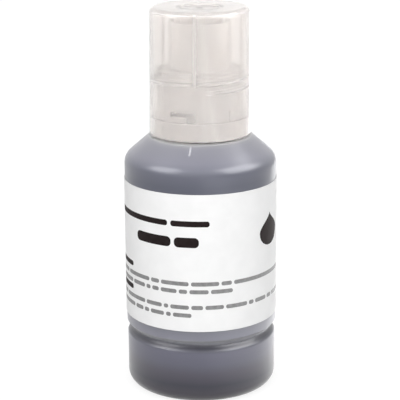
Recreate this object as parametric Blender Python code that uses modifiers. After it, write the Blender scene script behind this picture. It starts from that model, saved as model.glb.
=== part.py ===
"""Ink refill bottle: a blow-moulded bottle, a keyed and threaded spout collar, and a screw cap.

Lengths are in metres.  The origin is the centre of the ring that the bottle stands on,
+Z runs up the bottle's axis, and -Y is the side that the middle of the label faces.
Bearings are in degrees from -Y, positive towards +X.
"""

from math import atan2, ceil, cos, hypot, pi, radians, sin, tan

import bmesh
import bpy
from mathutils import Matrix, Vector

MM = 0.001

# Roundness of the model
FACETS = 48  # flats around a turned piece
INK_FACETS = 24
FILLET_STEP = radians(24)  # the most that one flat of a fillet turns
SMALL_FILLET = 1.0 * MM  # below this a fillet is one flat
FILLET_REACH = 0.49  # the most of an outline's side that one fillet may take up
GROOVE_FLATS = 6
MERGE = 1e-6

# Fits
SEAT_GAP = 0.2 * MM  # between two pieces that rest on each other
SLIDE_GAP = 0.3 * MM  # between two pieces that slide or turn in each other

# Bottle
BODY_RADIUS = 23.9 * MM
WALL = 1.0 * MM
SHOULDER_TOP = 81.64 * MM  # height of the land that the collar stands on
SHOULDER_SLOPE = radians(41)
SHOULDER_FILLET = 4.3 * MM
LAND_PAST_CAP = 0.3 * MM  # the land reaches this far past the cap's mouth
LAND_FILLET = 0.8 * MM
GROOVE_HEIGHT = 19.2 * MM
GROOVE_DEPTH = 1.6 * MM
GROOVE_HALF_WIDTH = 2.2 * MM
GROOVE_EASE = 0.8  # widening of the groove inside the wall, as a share of the wall
FOOT_STEP = 0.25 * MM  # below the groove the radius is smaller by this much
BASE_FILLET = 5.0 * MM
STANDING_RING_WIDTH = 3.25 * MM
DOME_EDGE_WIDTH = 2.6 * MM
DOME_EDGE_RISE = 1.9 * MM
DOME_RISE = 2.9 * MM
NECK_RADIUS = 11.1 * MM
NECK_WALL = 1.4 * MM
NECK_RIM_FILLET = 0.3 * MM
BEAD_STAND_OUT = 0.55 * MM
BEAD_HEIGHT = 1.4 * MM
BEAD_CHAMFER = 0.35 * MM
BEAD_ABOVE_LAND = 1.8 * MM
BEAD_GAP = 0.35 * MM  # to the collar's skirt
INDEX_RIB_BEARING = -10.0
INDEX_RIB_LENGTH = 3.2 * MM
INDEX_RIB_WIDTH = 0.6 * MM
INDEX_RIB_STAND_OUT = 0.3 * MM

# Ink
INK_GAP = 0.3 * MM  # to the bottle's wall
INK_BELOW_NECK_TOP = 9.1 * MM  # the level stands in the neck

# Label
LABEL_ABOVE_GROOVE = 2.9 * MM
LABEL_BELOW_SHOULDER = 6.83 * MM  # from where the shoulder's slope would meet the side
LABEL_THICKNESS = 0.12 * MM
LABEL_GAP = 0.1 * MM
LABEL_SEAM = 4.0 * MM  # bare strip between the label's ends, at the back

# Spout collar
SKIRT_WALL = 1.4 * MM
COLLAR_HEIGHT = 21.0 * MM  # from its foot to the top of its deck
DECK_THICKNESS = 1.5 * MM
DECK_FILLET = 0.4 * MM
FLANGE_STAND_OUT = 0.8 * MM
FLANGE_HEIGHT = 5.9 * MM
SPOUT_RADIUS = 6.05 * MM
SPOUT_TIP_WALL = 0.85 * MM
SPOUT_TIP_FILLET = 0.4 * MM
KEY_RING_GAP = 1.45 * MM  # to the cap's plug tube
KEY_RING_WALL = 1.0 * MM
KEY_RING_BELOW_TIP = 1.3 * MM
KEY_NOTCHES = ((128.0, 26.0, 0.61), (196.0, 40.0, 0.44), (252.0, 14.0, 0.61))  # bearing, span, depth's share

# Windows that lock the collar to the neck, each an L seen from outside
WINDOW_BEARINGS = (-41.8, 138.2)  # of the bar's far end
WINDOW_BAR_SPAN = 36.3
WINDOW_LEG_SPAN = 14.0
WINDOW_POCKET_SPAN = 12.0
WINDOW_BAR_HEIGHT = 1.5 * MM
WINDOW_LEG_HEIGHT = 1.6 * MM
WINDOW_FILM = 0.45 * MM  # wall left outside the hidden part of the track
WINDOW_EASE = 0.8  # the way in is narrower than the leg by this much a side
LUG_SPAN = 8.0
GRIP_RIB_BEARINGS = (42.5, 222.5)
GRIP_RIB_SPAN = 2.4
GRIP_RIB_HEIGHT = 3.4 * MM
GRIP_RIB_STAND_OUT = 0.4 * MM

# Thread between collar and cap, right-handed
THREAD_PITCH = 3.0 * MM
THREAD_TURNS = 1.25
THREAD_BELOW_DECK = 0.85 * MM  # from the deck's top to the middle of the upper end
THREAD_DEPTH = 0.85 * MM
THREAD_ROOT_WIDTH = 1.2 * MM
THREAD_CREST_WIDTH = 0.6 * MM
THREAD_LEAD_IN = 0.08  # share of a turn over which each end fades out
THREAD_SINK = 0.3 * MM  # how far a ridge reaches into its wall
THREAD_END_SHARE = 0.15  # of a ridge's full height, left where it has faded below the wall's surface

# Washer on the neck
WASHER_THICKNESS = 0.8 * MM
WASHER_OVERHANG = 1.5 * MM  # inside the neck's bore

# Slit valve in the spout's tip, and the ring that holds it
VALVE_DEPTH = 8.4 * MM  # from the spout's tip down to the valve's seat
VALVE_SEAT_WIDTH = 0.6 * MM
VALVE_FLANGE_THICKNESS = 1.5 * MM
VALVE_WALL = 0.9 * MM
VALVE_SIDE_HEIGHT = 4.9 * MM
VALVE_DOME_RISE = 1.3 * MM
SLIT_FROM_SIDE = 1.4 * MM
SLIT_WIDTH = 0.3 * MM
RETAINER_WALL = 1.0 * MM
RETAINER_BELOW_TIP = 0.6 * MM

# Cap
CAP_LENGTH = 39.5 * MM
CAP_CLEAR_OF_LAND = 0.7 * MM
CAP_TAPER = 0.4 * MM  # the top is smaller than the mouth by this much on the radius
CAP_WALL = 0.95 * MM
CAP_TOP_THICKNESS = 1.2 * MM
CAP_EDGE_FILLET = 1.64 * MM
CAP_INNER_FILLET = 0.8 * MM
CAP_RIM_FILLET = 0.25 * MM
CAP_LIP_THICKENING = 0.35 * MM
CAP_LIP_GAP = 0.33 * MM  # between the lip and the widest part of the collar
CAP_LIP_ABOVE_FLANGE = 0.1 * MM
CAP_DISH_RADIUS = 6.2 * MM
CAP_DISH_DEPTH = 0.5 * MM
GATE_RADIUS = 0.9 * MM
GATE_HEIGHT = 0.3 * MM
CAP_RIB_BEARINGS = (-6.3, 113.7, 233.7)
CAP_RIB_WIDTH = 0.9 * MM
CAP_RIB_STAND_IN = 0.2 * MM
CAP_RIB_BELOW_DECK = 3.6 * MM  # the ribs inside the cap reach down this far past the deck's top
PLUG_WALL = 1.0 * MM
PLUG_LENGTH = 4.0 * MM
LINER_THICKNESS = 1.4 * MM

# Radii that follow from the sizes above, from the neck outwards
NECK_BORE = NECK_RADIUS - NECK_WALL
WASHER_BORE = NECK_BORE - WASHER_OVERHANG
SKIRT_BORE = NECK_RADIUS + BEAD_STAND_OUT + BEAD_GAP
SKIRT_RADIUS = SKIRT_BORE + SKIRT_WALL
FLANGE_RADIUS = SKIRT_RADIUS + FLANGE_STAND_OUT
TRACK_RADIUS = SKIRT_RADIUS - WINDOW_FILM
LUG_RADIUS = TRACK_RADIUS - SEAT_GAP
THREAD_CREST_RADIUS = SKIRT_RADIUS + THREAD_DEPTH
CAP_THREAD_CREST_RADIUS = SKIRT_RADIUS + SLIDE_GAP
CAP_LIP_BORE = max(FLANGE_RADIUS, THREAD_CREST_RADIUS) + CAP_LIP_GAP
CAP_MOUTH_RADIUS = CAP_LIP_BORE + CAP_LIP_THICKENING + CAP_WALL
CAP_TOP_RADIUS = CAP_MOUTH_RADIUS - CAP_TAPER
LAND_EDGE = CAP_MOUTH_RADIUS + LAND_PAST_CAP
STANDING_RING_INNER = BODY_RADIUS - FOOT_STEP - BASE_FILLET - STANDING_RING_WIDTH
DOME_RADIUS = STANDING_RING_INNER - DOME_EDGE_WIDTH
LABEL_BORE = BODY_RADIUS + LABEL_GAP

# Radii of the spout and what goes in it and round it
VALVE_POCKET_RADIUS = SPOUT_RADIUS - SPOUT_TIP_WALL
SPOUT_BORE = VALVE_POCKET_RADIUS - VALVE_SEAT_WIDTH
VALVE_FLANGE_RADIUS = VALVE_POCKET_RADIUS - SLIDE_GAP
RETAINER_BORE = VALVE_FLANGE_RADIUS - RETAINER_WALL
VALVE_RADIUS = RETAINER_BORE - SLIDE_GAP
SLIT_LENGTH = 2 * (VALVE_RADIUS - SLIT_FROM_SIDE)
PLUG_BORE = SPOUT_RADIUS + SLIDE_GAP
PLUG_RADIUS = PLUG_BORE + PLUG_WALL
KEY_RING_BORE = PLUG_RADIUS + KEY_RING_GAP
KEY_RING_RADIUS = KEY_RING_BORE + KEY_RING_WALL

# Heights that follow from the sizes above
SHOULDER_CORNER = SHOULDER_TOP - (BODY_RADIUS - LAND_EDGE) * tan(SHOULDER_SLOPE)
LABEL_LOW = GROOVE_HEIGHT + GROOVE_HALF_WIDTH + LABEL_ABOVE_GROOVE
LABEL_TOP = SHOULDER_CORNER - LABEL_BELOW_SHOULDER
COLLAR_FOOT = SHOULDER_TOP + SEAT_GAP
DECK_TOP = COLLAR_FOOT + COLLAR_HEIGHT
DECK_UNDERSIDE = DECK_TOP - DECK_THICKNESS
FLANGE_TOP = COLLAR_FOOT + FLANGE_HEIGHT
WASHER_TOP = DECK_UNDERSIDE - SEAT_GAP
NECK_TOP = WASHER_TOP - WASHER_THICKNESS - SEAT_GAP
INK_LEVEL = NECK_TOP - INK_BELOW_NECK_TOP
CAP_MOUTH = SHOULDER_TOP + CAP_CLEAR_OF_LAND
CAP_TOP = CAP_MOUTH + CAP_LENGTH
CAP_CEILING = CAP_TOP - CAP_TOP_THICKNESS
CAP_LIP_TOP = FLANGE_TOP + CAP_LIP_ABOVE_FLANGE
LINER_LOW = CAP_CEILING - SEAT_GAP - LINER_THICKNESS
SPOUT_TIP = LINER_LOW - SEAT_GAP
KEY_RING_TOP = SPOUT_TIP - KEY_RING_BELOW_TIP
VALVE_SEAT = SPOUT_TIP - VALVE_DEPTH
VALVE_FOOT = VALVE_SEAT + SEAT_GAP
VALVE_FLANGE_TOP = VALVE_FOOT + VALVE_FLANGE_THICKNESS
WINDOW_BAR_LOW = FLANGE_TOP + WINDOW_LEG_HEIGHT
WINDOW_BAR_HIGH = WINDOW_BAR_LOW + WINDOW_BAR_HEIGHT
THREAD_LOW = DECK_TOP - THREAD_BELOW_DECK - THREAD_PITCH * THREAD_TURNS
CAP_THREAD_LOW = THREAD_LOW - (THREAD_ROOT_WIDTH + THREAD_CREST_WIDTH) / 2 - SEAT_GAP


def rounded(corners):
    """Points of an outline given as (radius, height, fillet) corners, with the fillets drawn as arcs."""
    points = [Vector(corners[0][:2])]
    for before, here, after in zip(corners, corners[1:], corners[2:]):
        corner = Vector(here[:2])
        back = Vector(before[:2]) - corner
        ahead = Vector(after[:2]) - corner
        opening = back.angle(ahead)
        if here[2] <= 0 or opening > pi - radians(2):
            points.append(corner)
            continue
        reach = min(here[2] / tan(opening / 2), FILLET_REACH * back.length, FILLET_REACH * ahead.length)
        radius = reach * tan(opening / 2)
        centre = corner + (back.normalized() + ahead.normalized()).normalized() * radius / sin(opening / 2)
        start = corner + back.normalized() * reach - centre
        finish = corner + ahead.normalized() * reach - centre
        turn = atan2(start.x * finish.y - start.y * finish.x, start.dot(finish))
        flats = 1 if radius < SMALL_FILLET else ceil(abs(turn) / FILLET_STEP)
        for step in range(flats + 1):
            angle = turn * step / flats
            arm = start.copy()
            arm.rotate(Matrix.Rotation(angle, 2))
            points.append(centre + arm)
    points.append(Vector(corners[-1][:2]))
    return points


def sharp(*points):
    """Corners without fillets."""
    return [(radius, height, 0.0) for radius, height in points]


def ring_outline(inner, outer, low, high):
    """Closed outline of a plain ring, down its outer side and up its inner side."""
    return [(outer, high), (outer, low), (inner, low), (inner, high)]


def link(obj, collection):
    """Put an object in one of the model's collections."""
    collection.objects.link(obj)
    return obj


def as_tool(obj):
    """Mark an object as one that only cuts or joins others."""
    obj.hide_render = True
    obj.display_type = "WIRE"
    return obj


def turned(name, points, collection, closed=False, facets=FACETS):
    """Turn an outline of (radius, height) points about Z with a Screw modifier."""
    mesh = bpy.data.meshes.new(name)
    edges = [(index, index + 1) for index in range(len(points) - 1)]
    if closed:
        edges.append((len(points) - 1, 0))
    mesh.from_pydata([(point[0], 0.0, point[1]) for point in points], edges, [])
    obj = link(bpy.data.objects.new(name, mesh), collection)
    screw = obj.modifiers.new("Turn", "SCREW")
    screw.axis = "Z"
    screw.angle = 2 * pi
    screw.steps = facets
    screw.render_steps = facets
    screw.use_merge_vertices = True
    screw.merge_threshold = MERGE
    screw.use_smooth_shade = True
    return obj


def swept(name, section, turn, rise, steps, collection):
    """Sweep a closed section of (radius, height) points round Z, climbing rise on the way."""
    bm = bmesh.new()
    face = bm.faces.new([bm.verts.new((radius, 0.0, height)) for radius, height in section])
    bmesh.ops.spin(
        bm,
        geom=[face, *face.edges, *face.verts],
        axis=(0.0, 0.0, 1.0),
        cent=(0.0, 0.0, 0.0),
        dvec=(0.0, 0.0, rise / steps),
        angle=turn,
        steps=steps,
    )
    bmesh.ops.recalc_face_normals(bm, faces=bm.faces)
    mesh = bpy.data.meshes.new(name)
    bm.to_mesh(mesh)
    bm.free()
    return link(bpy.data.objects.new(name, mesh), collection)


def sector(name, inner, outer, low, high, start, span, collection):
    """Block between two radii, two heights and two bearings."""
    section = ((inner, low), (outer, low), (outer, high), (inner, high))
    steps = max(1, ceil(span / (360 / FACETS)))
    obj = swept(name, section, radians(span), 0.0, steps, collection)
    obj.rotation_euler.z = radians(start - 90)
    return obj


def thread_ridge(name, wall, crest, low, start, collection):
    """Right-hand ridge of trapezoid section on a wall, with both ends faded into the wall."""
    outward = 1 if crest > wall else -1
    root = wall - outward * THREAD_SINK
    half_crest = THREAD_CREST_WIDTH / 2
    flank = (THREAD_ROOT_WIDTH - THREAD_CREST_WIDTH) / 2 / abs(crest - wall)
    half_root = half_crest + flank * abs(crest - root)
    section = (
        (root, low - half_root),
        (crest, low - half_crest),
        (crest, low + half_crest),
        (root, low + half_root),
    )
    steps = round(FACETS * THREAD_TURNS)
    obj = swept(name, section, 2 * pi * THREAD_TURNS, THREAD_PITCH * THREAD_TURNS, steps, collection)
    for vertex in obj.data.vertices:
        radius = hypot(vertex.co.x, vertex.co.y)
        bearing = (atan2(vertex.co.y, vertex.co.x) / (2 * pi)) % 1.0
        whole_turns = round((vertex.co.z - low) / THREAD_PITCH - bearing)
        along = bearing + whole_turns
        share = min(1.0, along / THREAD_LEAD_IN, (THREAD_TURNS - along) / THREAD_LEAD_IN)
        faded = root + (radius - root) * max(share, THREAD_END_SHARE)
        vertex.co.x *= faded / radius
        vertex.co.y *= faded / radius
    obj.rotation_euler.z = radians(start - 90)
    return obj


def combine(target, tool, operation):
    """Cut a tool out of a piece, or join it on, with an exact Boolean."""
    as_tool(tool)
    boolean = target.modifiers.new(tool.name, "BOOLEAN")
    boolean.operation = operation
    boolean.object = tool
    boolean.solver = "EXACT"


def body_corners(inset, neck_radius):
    """Outline of the bottle's body from the foot of the neck down to the base's centre, moved in by inset."""
    side = BODY_RADIUS - inset
    land = SHOULDER_TOP - inset
    slope_end = SHOULDER_CORNER - inset * tan((pi / 2 - SHOULDER_SLOPE) / 2)
    land_edge = side - (land - slope_end) / tan(SHOULDER_SLOPE)
    half_width = GROOVE_HALF_WIDTH + GROOVE_EASE * inset
    corners = [
        (neck_radius, land, LAND_FILLET),
        (land_edge, land, LAND_FILLET),
        (side, slope_end, SHOULDER_FILLET - inset),
    ]
    for step in range(GROOVE_FLATS + 1):
        across = 2 * step / GROOVE_FLATS - 1
        depth = GROOVE_DEPTH * (1 + cos(pi * across)) / 2 + FOOT_STEP * (1 + across) / 2
        corners.append((side - depth, GROOVE_HEIGHT - half_width * across, 0.0))
    corners += [
        (side - FOOT_STEP, inset, BASE_FILLET - inset),
        (STANDING_RING_INNER, inset, LAND_FILLET),
        (DOME_RADIUS, DOME_EDGE_RISE + inset, LAND_FILLET),
        (0.0, DOME_RISE + inset, 0.0),
    ]
    return corners


def make_bottle(parts, tools):
    """Blow-moulded bottle with a beaded neck, two locking lugs, a grip groove and a pushed-up base."""
    bead_low = SHOULDER_TOP + BEAD_ABOVE_LAND
    bead = NECK_RADIUS + BEAD_STAND_OUT
    neck = [
        (NECK_BORE, NECK_TOP, NECK_RIM_FILLET),
        (NECK_RADIUS, NECK_TOP, NECK_RIM_FILLET),
        *sharp((NECK_RADIUS, bead_low + BEAD_HEIGHT), (bead, bead_low + BEAD_HEIGHT - BEAD_CHAMFER)),
        *sharp((bead, bead_low + BEAD_CHAMFER), (NECK_RADIUS, bead_low)),
    ]
    inside = body_corners(WALL, NECK_BORE)[::-1]
    bottle = turned("bottle", rounded(inside + neck + body_corners(0.0, NECK_RADIUS)), parts)
    for number, bearing in enumerate(WINDOW_BEARINGS, 1):
        lug = sector(
            f"neck_lug_{number}",
            (NECK_BORE + NECK_RADIUS) / 2,
            LUG_RADIUS,
            WINDOW_BAR_LOW + SEAT_GAP,
            WINDOW_BAR_HIGH - SEAT_GAP,
            bearing - (WINDOW_POCKET_SPAN + LUG_SPAN) / 2,
            LUG_SPAN,
            tools,
        )
        combine(bottle, lug, "UNION")
    combine(bottle, make_index_rib(tools), "UNION")
    return bottle


def make_index_rib(tools):
    """Short rib that runs down the shoulder's slope from the edge of the land."""
    bpy.ops.mesh.primitive_cube_add(size=1.0)
    rib = bpy.context.object
    rib.name = "index_rib"
    bpy.context.collection.objects.unlink(rib)
    link(rib, tools)
    buried = WALL / 2
    size = Vector((INDEX_RIB_WIDTH, INDEX_RIB_LENGTH, buried + INDEX_RIB_STAND_OUT))
    rib.data.transform(Matrix.Diagonal((*size, 1.0)))
    along = Vector((0.0, -cos(SHOULDER_SLOPE), -sin(SHOULDER_SLOPE)))
    outward = Vector((0.0, -sin(SHOULDER_SLOPE), cos(SHOULDER_SLOPE)))
    centre = Vector((0.0, -LAND_EDGE, SHOULDER_TOP)) + along * (LAND_FILLET + INDEX_RIB_LENGTH / 2)
    centre += outward * (INDEX_RIB_STAND_OUT - buried) / 2
    tilt = Matrix.Translation(centre) @ Matrix.Rotation(SHOULDER_SLOPE, 4, "X")
    rib.data.transform(Matrix.Rotation(radians(INDEX_RIB_BEARING), 4, "Z") @ tilt)
    return rib


def make_ink(parts):
    """The ink, as one solid that fills the bottle up into its neck."""
    inset = WALL + INK_GAP
    corners = sharp((0.0, INK_LEVEL), (NECK_BORE - INK_GAP, INK_LEVEL))
    corners += body_corners(inset, NECK_BORE - INK_GAP)
    return turned("ink", rounded(corners), parts, facets=INK_FACETS)


def make_label(parts, tools):
    """Paper label wrapped round the body, with a bare seam at the back."""
    outline = ring_outline(LABEL_BORE, LABEL_BORE + LABEL_THICKNESS, LABEL_LOW, LABEL_TOP)
    label = turned("label", outline, parts, closed=True)
    seam_span = LABEL_SEAM / BODY_RADIUS * 180 / pi
    margin = WALL
    seam = sector(
        "label_seam",
        LABEL_BORE - margin,
        LABEL_BORE + margin,
        LABEL_LOW - margin,
        LABEL_TOP + margin,
        180 - seam_span / 2,
        seam_span,
        tools,
    )
    combine(label, seam, "DIFFERENCE")
    return label


def make_neck_seal(parts):
    """Flat washer between the neck's rim and the underside of the collar's deck."""
    outline = ring_outline(WASHER_BORE, NECK_RADIUS, WASHER_TOP - WASHER_THICKNESS, WASHER_TOP)
    return turned("neck_seal", outline, parts, closed=True)


def collar_outline():
    """Closed outline of the spout collar: tip, key ring, deck, skirt and flange, then back up inside."""
    tip_middle = (SPOUT_RADIUS + VALVE_POCKET_RADIUS) / 2
    corners = [
        (tip_middle, SPOUT_TIP, 0.0),
        (SPOUT_RADIUS, SPOUT_TIP, SPOUT_TIP_FILLET),
        (SPOUT_RADIUS, DECK_TOP, DECK_FILLET),
        (KEY_RING_BORE, DECK_TOP, 0.0),
        (KEY_RING_BORE, KEY_RING_TOP, 0.0),
        (KEY_RING_RADIUS, KEY_RING_TOP, DECK_FILLET),
        (KEY_RING_RADIUS, DECK_TOP, DECK_FILLET),
        (SKIRT_RADIUS, DECK_TOP, DECK_FILLET),
        (SKIRT_RADIUS, FLANGE_TOP, 0.0),
        (FLANGE_RADIUS, FLANGE_TOP, DECK_FILLET),
        (FLANGE_RADIUS, COLLAR_FOOT, DECK_FILLET),
        (SKIRT_BORE, COLLAR_FOOT, 0.0),
        (SKIRT_BORE, DECK_UNDERSIDE, DECK_FILLET),
        (SPOUT_BORE, DECK_UNDERSIDE, DECK_FILLET),
        (SPOUT_BORE, VALVE_SEAT, 0.0),
        (VALVE_POCKET_RADIUS, VALVE_SEAT, 0.0),
        (VALVE_POCKET_RADIUS, SPOUT_TIP, 0.0),
        (tip_middle, SPOUT_TIP, 0.0),
    ]
    return rounded(corners)[:-1]


def lock_track(number, bearing, tools):
    """Cutters for one locking track: the L-shaped window, the way in below it and the hidden pocket."""
    through = FLANGE_RADIUS + SLIDE_GAP
    inside = SKIRT_BORE - SLIDE_GAP
    leg_start = bearing + WINDOW_BAR_SPAN - WINDOW_LEG_SPAN
    leg_span = WINDOW_LEG_SPAN - WINDOW_EASE
    pocket_start = bearing - WINDOW_POCKET_SPAN
    way_in_start = leg_start + WINDOW_EASE
    way_in_span = WINDOW_LEG_SPAN - 2 * WINDOW_EASE
    pocket_span = WINDOW_POCKET_SPAN + WINDOW_EASE
    bar = (WINDOW_BAR_LOW, WINDOW_BAR_HIGH)
    way_in = (COLLAR_FOOT - SLIDE_GAP, WINDOW_BAR_LOW + 2 * SLIDE_GAP)
    blocks = (
        ("bar", through, *bar, bearing, WINDOW_BAR_SPAN),
        ("leg", through, FLANGE_TOP, WINDOW_BAR_LOW + SLIDE_GAP, leg_start, leg_span),
        ("way_in", TRACK_RADIUS, *way_in, way_in_start, way_in_span),
        ("pocket", TRACK_RADIUS, *bar, pocket_start, pocket_span),
    )
    for role, outer, low, high, start, span in blocks:
        yield sector(f"lock_{number}_{role}", inside, outer, low, high, start, span, tools)


def make_spout_collar(parts, tools):
    """Spout collar: bore and valve pocket, key ring with unequal notches, thread, and locking windows."""
    collar = turned("spout_collar", collar_outline(), parts, closed=True)
    ridge = thread_ridge("collar_thread", SKIRT_RADIUS, THREAD_CREST_RADIUS, THREAD_LOW, 0.0, tools)
    combine(collar, ridge, "UNION")
    for number, bearing in enumerate(GRIP_RIB_BEARINGS, 1):
        rib = sector(
            f"grip_rib_{number}",
            SKIRT_RADIUS - THREAD_SINK,
            SKIRT_RADIUS + GRIP_RIB_STAND_OUT,
            FLANGE_TOP - THREAD_SINK,
            FLANGE_TOP + GRIP_RIB_HEIGHT,
            bearing - GRIP_RIB_SPAN / 2,
            GRIP_RIB_SPAN,
            tools,
        )
        combine(collar, rib, "UNION")
    for number, bearing in enumerate(WINDOW_BEARINGS, 1):
        for block in lock_track(number, bearing, tools):
            combine(collar, block, "DIFFERENCE")
    for number, (bearing, span, share) in enumerate(KEY_NOTCHES, 1):
        notch = sector(
            f"key_notch_{number}",
            KEY_RING_BORE - SLIDE_GAP,
            KEY_RING_RADIUS + SLIDE_GAP,
            KEY_RING_TOP - share * (KEY_RING_TOP - DECK_TOP),
            KEY_RING_TOP + SLIDE_GAP,
            bearing - span / 2,
            span,
            tools,
        )
        combine(collar, notch, "DIFFERENCE")
    return collar


def make_slit_valve(parts, tools):
    """Soft flanged cup whose domed top is slit."""
    shoulder = VALVE_FOOT + VALVE_SIDE_HEIGHT
    inner = VALVE_RADIUS - VALVE_WALL
    corners = [
        (0.0, shoulder + VALVE_DOME_RISE, 0.0),
        (VALVE_RADIUS, shoulder, VALVE_WALL),
        (VALVE_RADIUS, VALVE_FLANGE_TOP, 0.0),
        (VALVE_FLANGE_RADIUS, VALVE_FLANGE_TOP, 0.0),
        (VALVE_FLANGE_RADIUS, VALVE_FOOT, 0.0),
        (inner, VALVE_FOOT, 0.0),
        (inner, shoulder - VALVE_WALL, 0.0),
        (0.0, shoulder + VALVE_DOME_RISE - VALVE_WALL, 0.0),
    ]
    valve = turned("slit_valve", rounded(corners), parts)
    bpy.ops.mesh.primitive_cube_add(size=1.0)
    slit = bpy.context.object
    slit.name = "valve_slit"
    bpy.context.collection.objects.unlink(slit)
    link(slit, tools)
    size = Vector((SLIT_LENGTH, SLIT_WIDTH, 4 * VALVE_DOME_RISE))
    place = Matrix.Translation((0.0, 0.0, shoulder + VALVE_DOME_RISE / 2))
    slit.data.transform(place @ Matrix.Diagonal((*size, 1.0)))
    combine(valve, slit, "DIFFERENCE")
    return valve


def make_valve_retainer(parts):
    """Ring pressed into the spout's tip, which holds the valve's flange on its seat."""
    low = VALVE_FLANGE_TOP + SEAT_GAP
    high = SPOUT_TIP - RETAINER_BELOW_TIP
    outline = ring_outline(RETAINER_BORE, VALVE_FLANGE_RADIUS, low, high)
    return turned("valve_retainer", outline, parts, closed=True)


def cap_outer_radius(height):
    """Radius of the cap's tapered side at a height."""
    share = (height - CAP_MOUTH) / CAP_LENGTH
    return CAP_MOUTH_RADIUS + (CAP_TOP_RADIUS - CAP_MOUTH_RADIUS) * share


def make_cap_shell(parts, tools):
    """Screw cap: dished top with its gate mark, tapered side, thicker lip, thread and plug tube."""
    dish = CAP_TOP - CAP_DISH_DEPTH
    step_top = CAP_LIP_TOP + CAP_LIP_THICKENING
    corners = [
        (0.0, dish + GATE_HEIGHT, 0.0),
        (GATE_RADIUS, dish + GATE_HEIGHT, 0.0),
        (GATE_RADIUS + GATE_HEIGHT, dish, 0.0),
        (CAP_DISH_RADIUS - CAP_DISH_DEPTH, dish, 0.0),
        (CAP_DISH_RADIUS, CAP_TOP, 0.0),
        (CAP_TOP_RADIUS, CAP_TOP, CAP_EDGE_FILLET),
        (CAP_MOUTH_RADIUS, CAP_MOUTH, CAP_RIM_FILLET),
        (CAP_LIP_BORE, CAP_MOUTH, CAP_RIM_FILLET),
        (CAP_LIP_BORE, CAP_LIP_TOP, 0.0),
        (cap_outer_radius(step_top) - CAP_WALL, step_top, 0.0),
        (cap_outer_radius(CAP_CEILING) - CAP_WALL, CAP_CEILING, CAP_INNER_FILLET),
        (PLUG_RADIUS, CAP_CEILING, 0.0),
        (PLUG_RADIUS, CAP_CEILING - PLUG_LENGTH, CAP_RIM_FILLET),
        (PLUG_BORE, CAP_CEILING - PLUG_LENGTH, CAP_RIM_FILLET),
        (PLUG_BORE, CAP_CEILING, 0.0),
        (0.0, CAP_CEILING, 0.0),
    ]
    cap = turned("cap_shell", rounded(corners), parts)
    wall = cap_outer_radius(CAP_THREAD_LOW) - CAP_WALL
    ridge = thread_ridge("cap_thread", wall, CAP_THREAD_CREST_RADIUS, CAP_THREAD_LOW, 0.0, tools)
    combine(cap, ridge, "UNION")
    for number, bearing in enumerate(CAP_RIB_BEARINGS, 1):
        combine(cap, make_cap_rib(number, bearing, tools), "UNION")
    return cap


def make_cap_rib(number, bearing, tools):
    """Shallow upright rib on the inside of the cap, which follows the wall's taper up to the ceiling."""
    section = []
    for height in (DECK_TOP - CAP_RIB_BELOW_DECK, CAP_CEILING + CAP_RIB_STAND_IN):
        wall = cap_outer_radius(height) - CAP_WALL
        section.append(((wall - CAP_RIB_STAND_IN, height), (wall + CAP_WALL / 2, height)))
    span = CAP_RIB_WIDTH / CAP_MOUTH_RADIUS
    (low_in, low_out), (high_in, high_out) = section
    rib = swept(f"cap_rib_{number}", (low_in, low_out, high_out, high_in), span, 0.0, 1, tools)
    rib.rotation_euler.z = radians(bearing - 90) - span / 2
    return rib


def make_cap_liner(parts):
    """Soft disc inside the plug tube, which closes the spout's tip."""
    corners = sharp(
        (0.0, CAP_CEILING - SEAT_GAP),
        (PLUG_BORE - SLIDE_GAP, CAP_CEILING - SEAT_GAP),
        (PLUG_BORE - SLIDE_GAP, LINER_LOW),
        (0.0, LINER_LOW),
    )
    return turned("cap_liner", rounded(corners), parts)


def dress(obj, colour, roughness, transmission=0.0):
    """Give a piece its own Principled material."""
    material = bpy.data.materials.new(obj.name)
    material.use_nodes = True
    shader = material.node_tree.nodes["Principled BSDF"]
    shader.inputs["Base Color"].default_value = (*colour, 1.0)
    shader.inputs["Roughness"].default_value = roughness
    shader.inputs["Metallic"].default_value = 0.0
    shader.inputs["Transmission Weight"].default_value = transmission
    material.diffuse_color = (*colour, 1.0)
    obj.data.materials.append(material)


def main():
    """Build every piece."""
    for obj in list(bpy.data.objects):
        bpy.data.objects.remove(obj, do_unlink=True)
    parts = bpy.data.collections.new("ink_refill_bottle")
    tools = bpy.data.collections.new("cutters")
    for collection in (parts, tools):
        bpy.context.scene.collection.children.link(collection)
    dress(make_bottle(parts, tools), (0.80, 0.80, 0.82), 0.35, 0.8)
    dress(make_ink(parts), (0.02, 0.02, 0.03), 0.2)
    dress(make_label(parts, tools), (0.93, 0.93, 0.93), 0.5)
    dress(make_neck_seal(parts), (0.72, 0.72, 0.70), 0.6)
    dress(make_spout_collar(parts, tools), (0.82, 0.80, 0.78), 0.4, 0.4)
    dress(make_slit_valve(parts, tools), (0.20, 0.20, 0.22), 0.6)
    dress(make_valve_retainer(parts), (0.85, 0.84, 0.82), 0.4)
    dress(make_cap_shell(parts, tools), (0.90, 0.89, 0.87), 0.35, 0.7)
    dress(make_cap_liner(parts), (0.88, 0.88, 0.86), 0.6)


main()
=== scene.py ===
"""Looks of an ink refill bottle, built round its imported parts.

Lengths are in metres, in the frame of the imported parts: +Z runs up the bottle's axis from the
ring that it stands on, and -Y is the side that the middle of the label faces. Bearings are in
degrees from -Y, positive towards +X.
"""

from __future__ import annotations

import logging
import math
from abc import ABC, abstractmethod
from collections.abc import Callable, Iterable, Sequence
from dataclasses import dataclass, field
from enum import Enum

import bmesh  # noqa: E402
import bpy  # noqa: E402
from mathutils import Matrix, Vector  # noqa: E402

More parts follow.
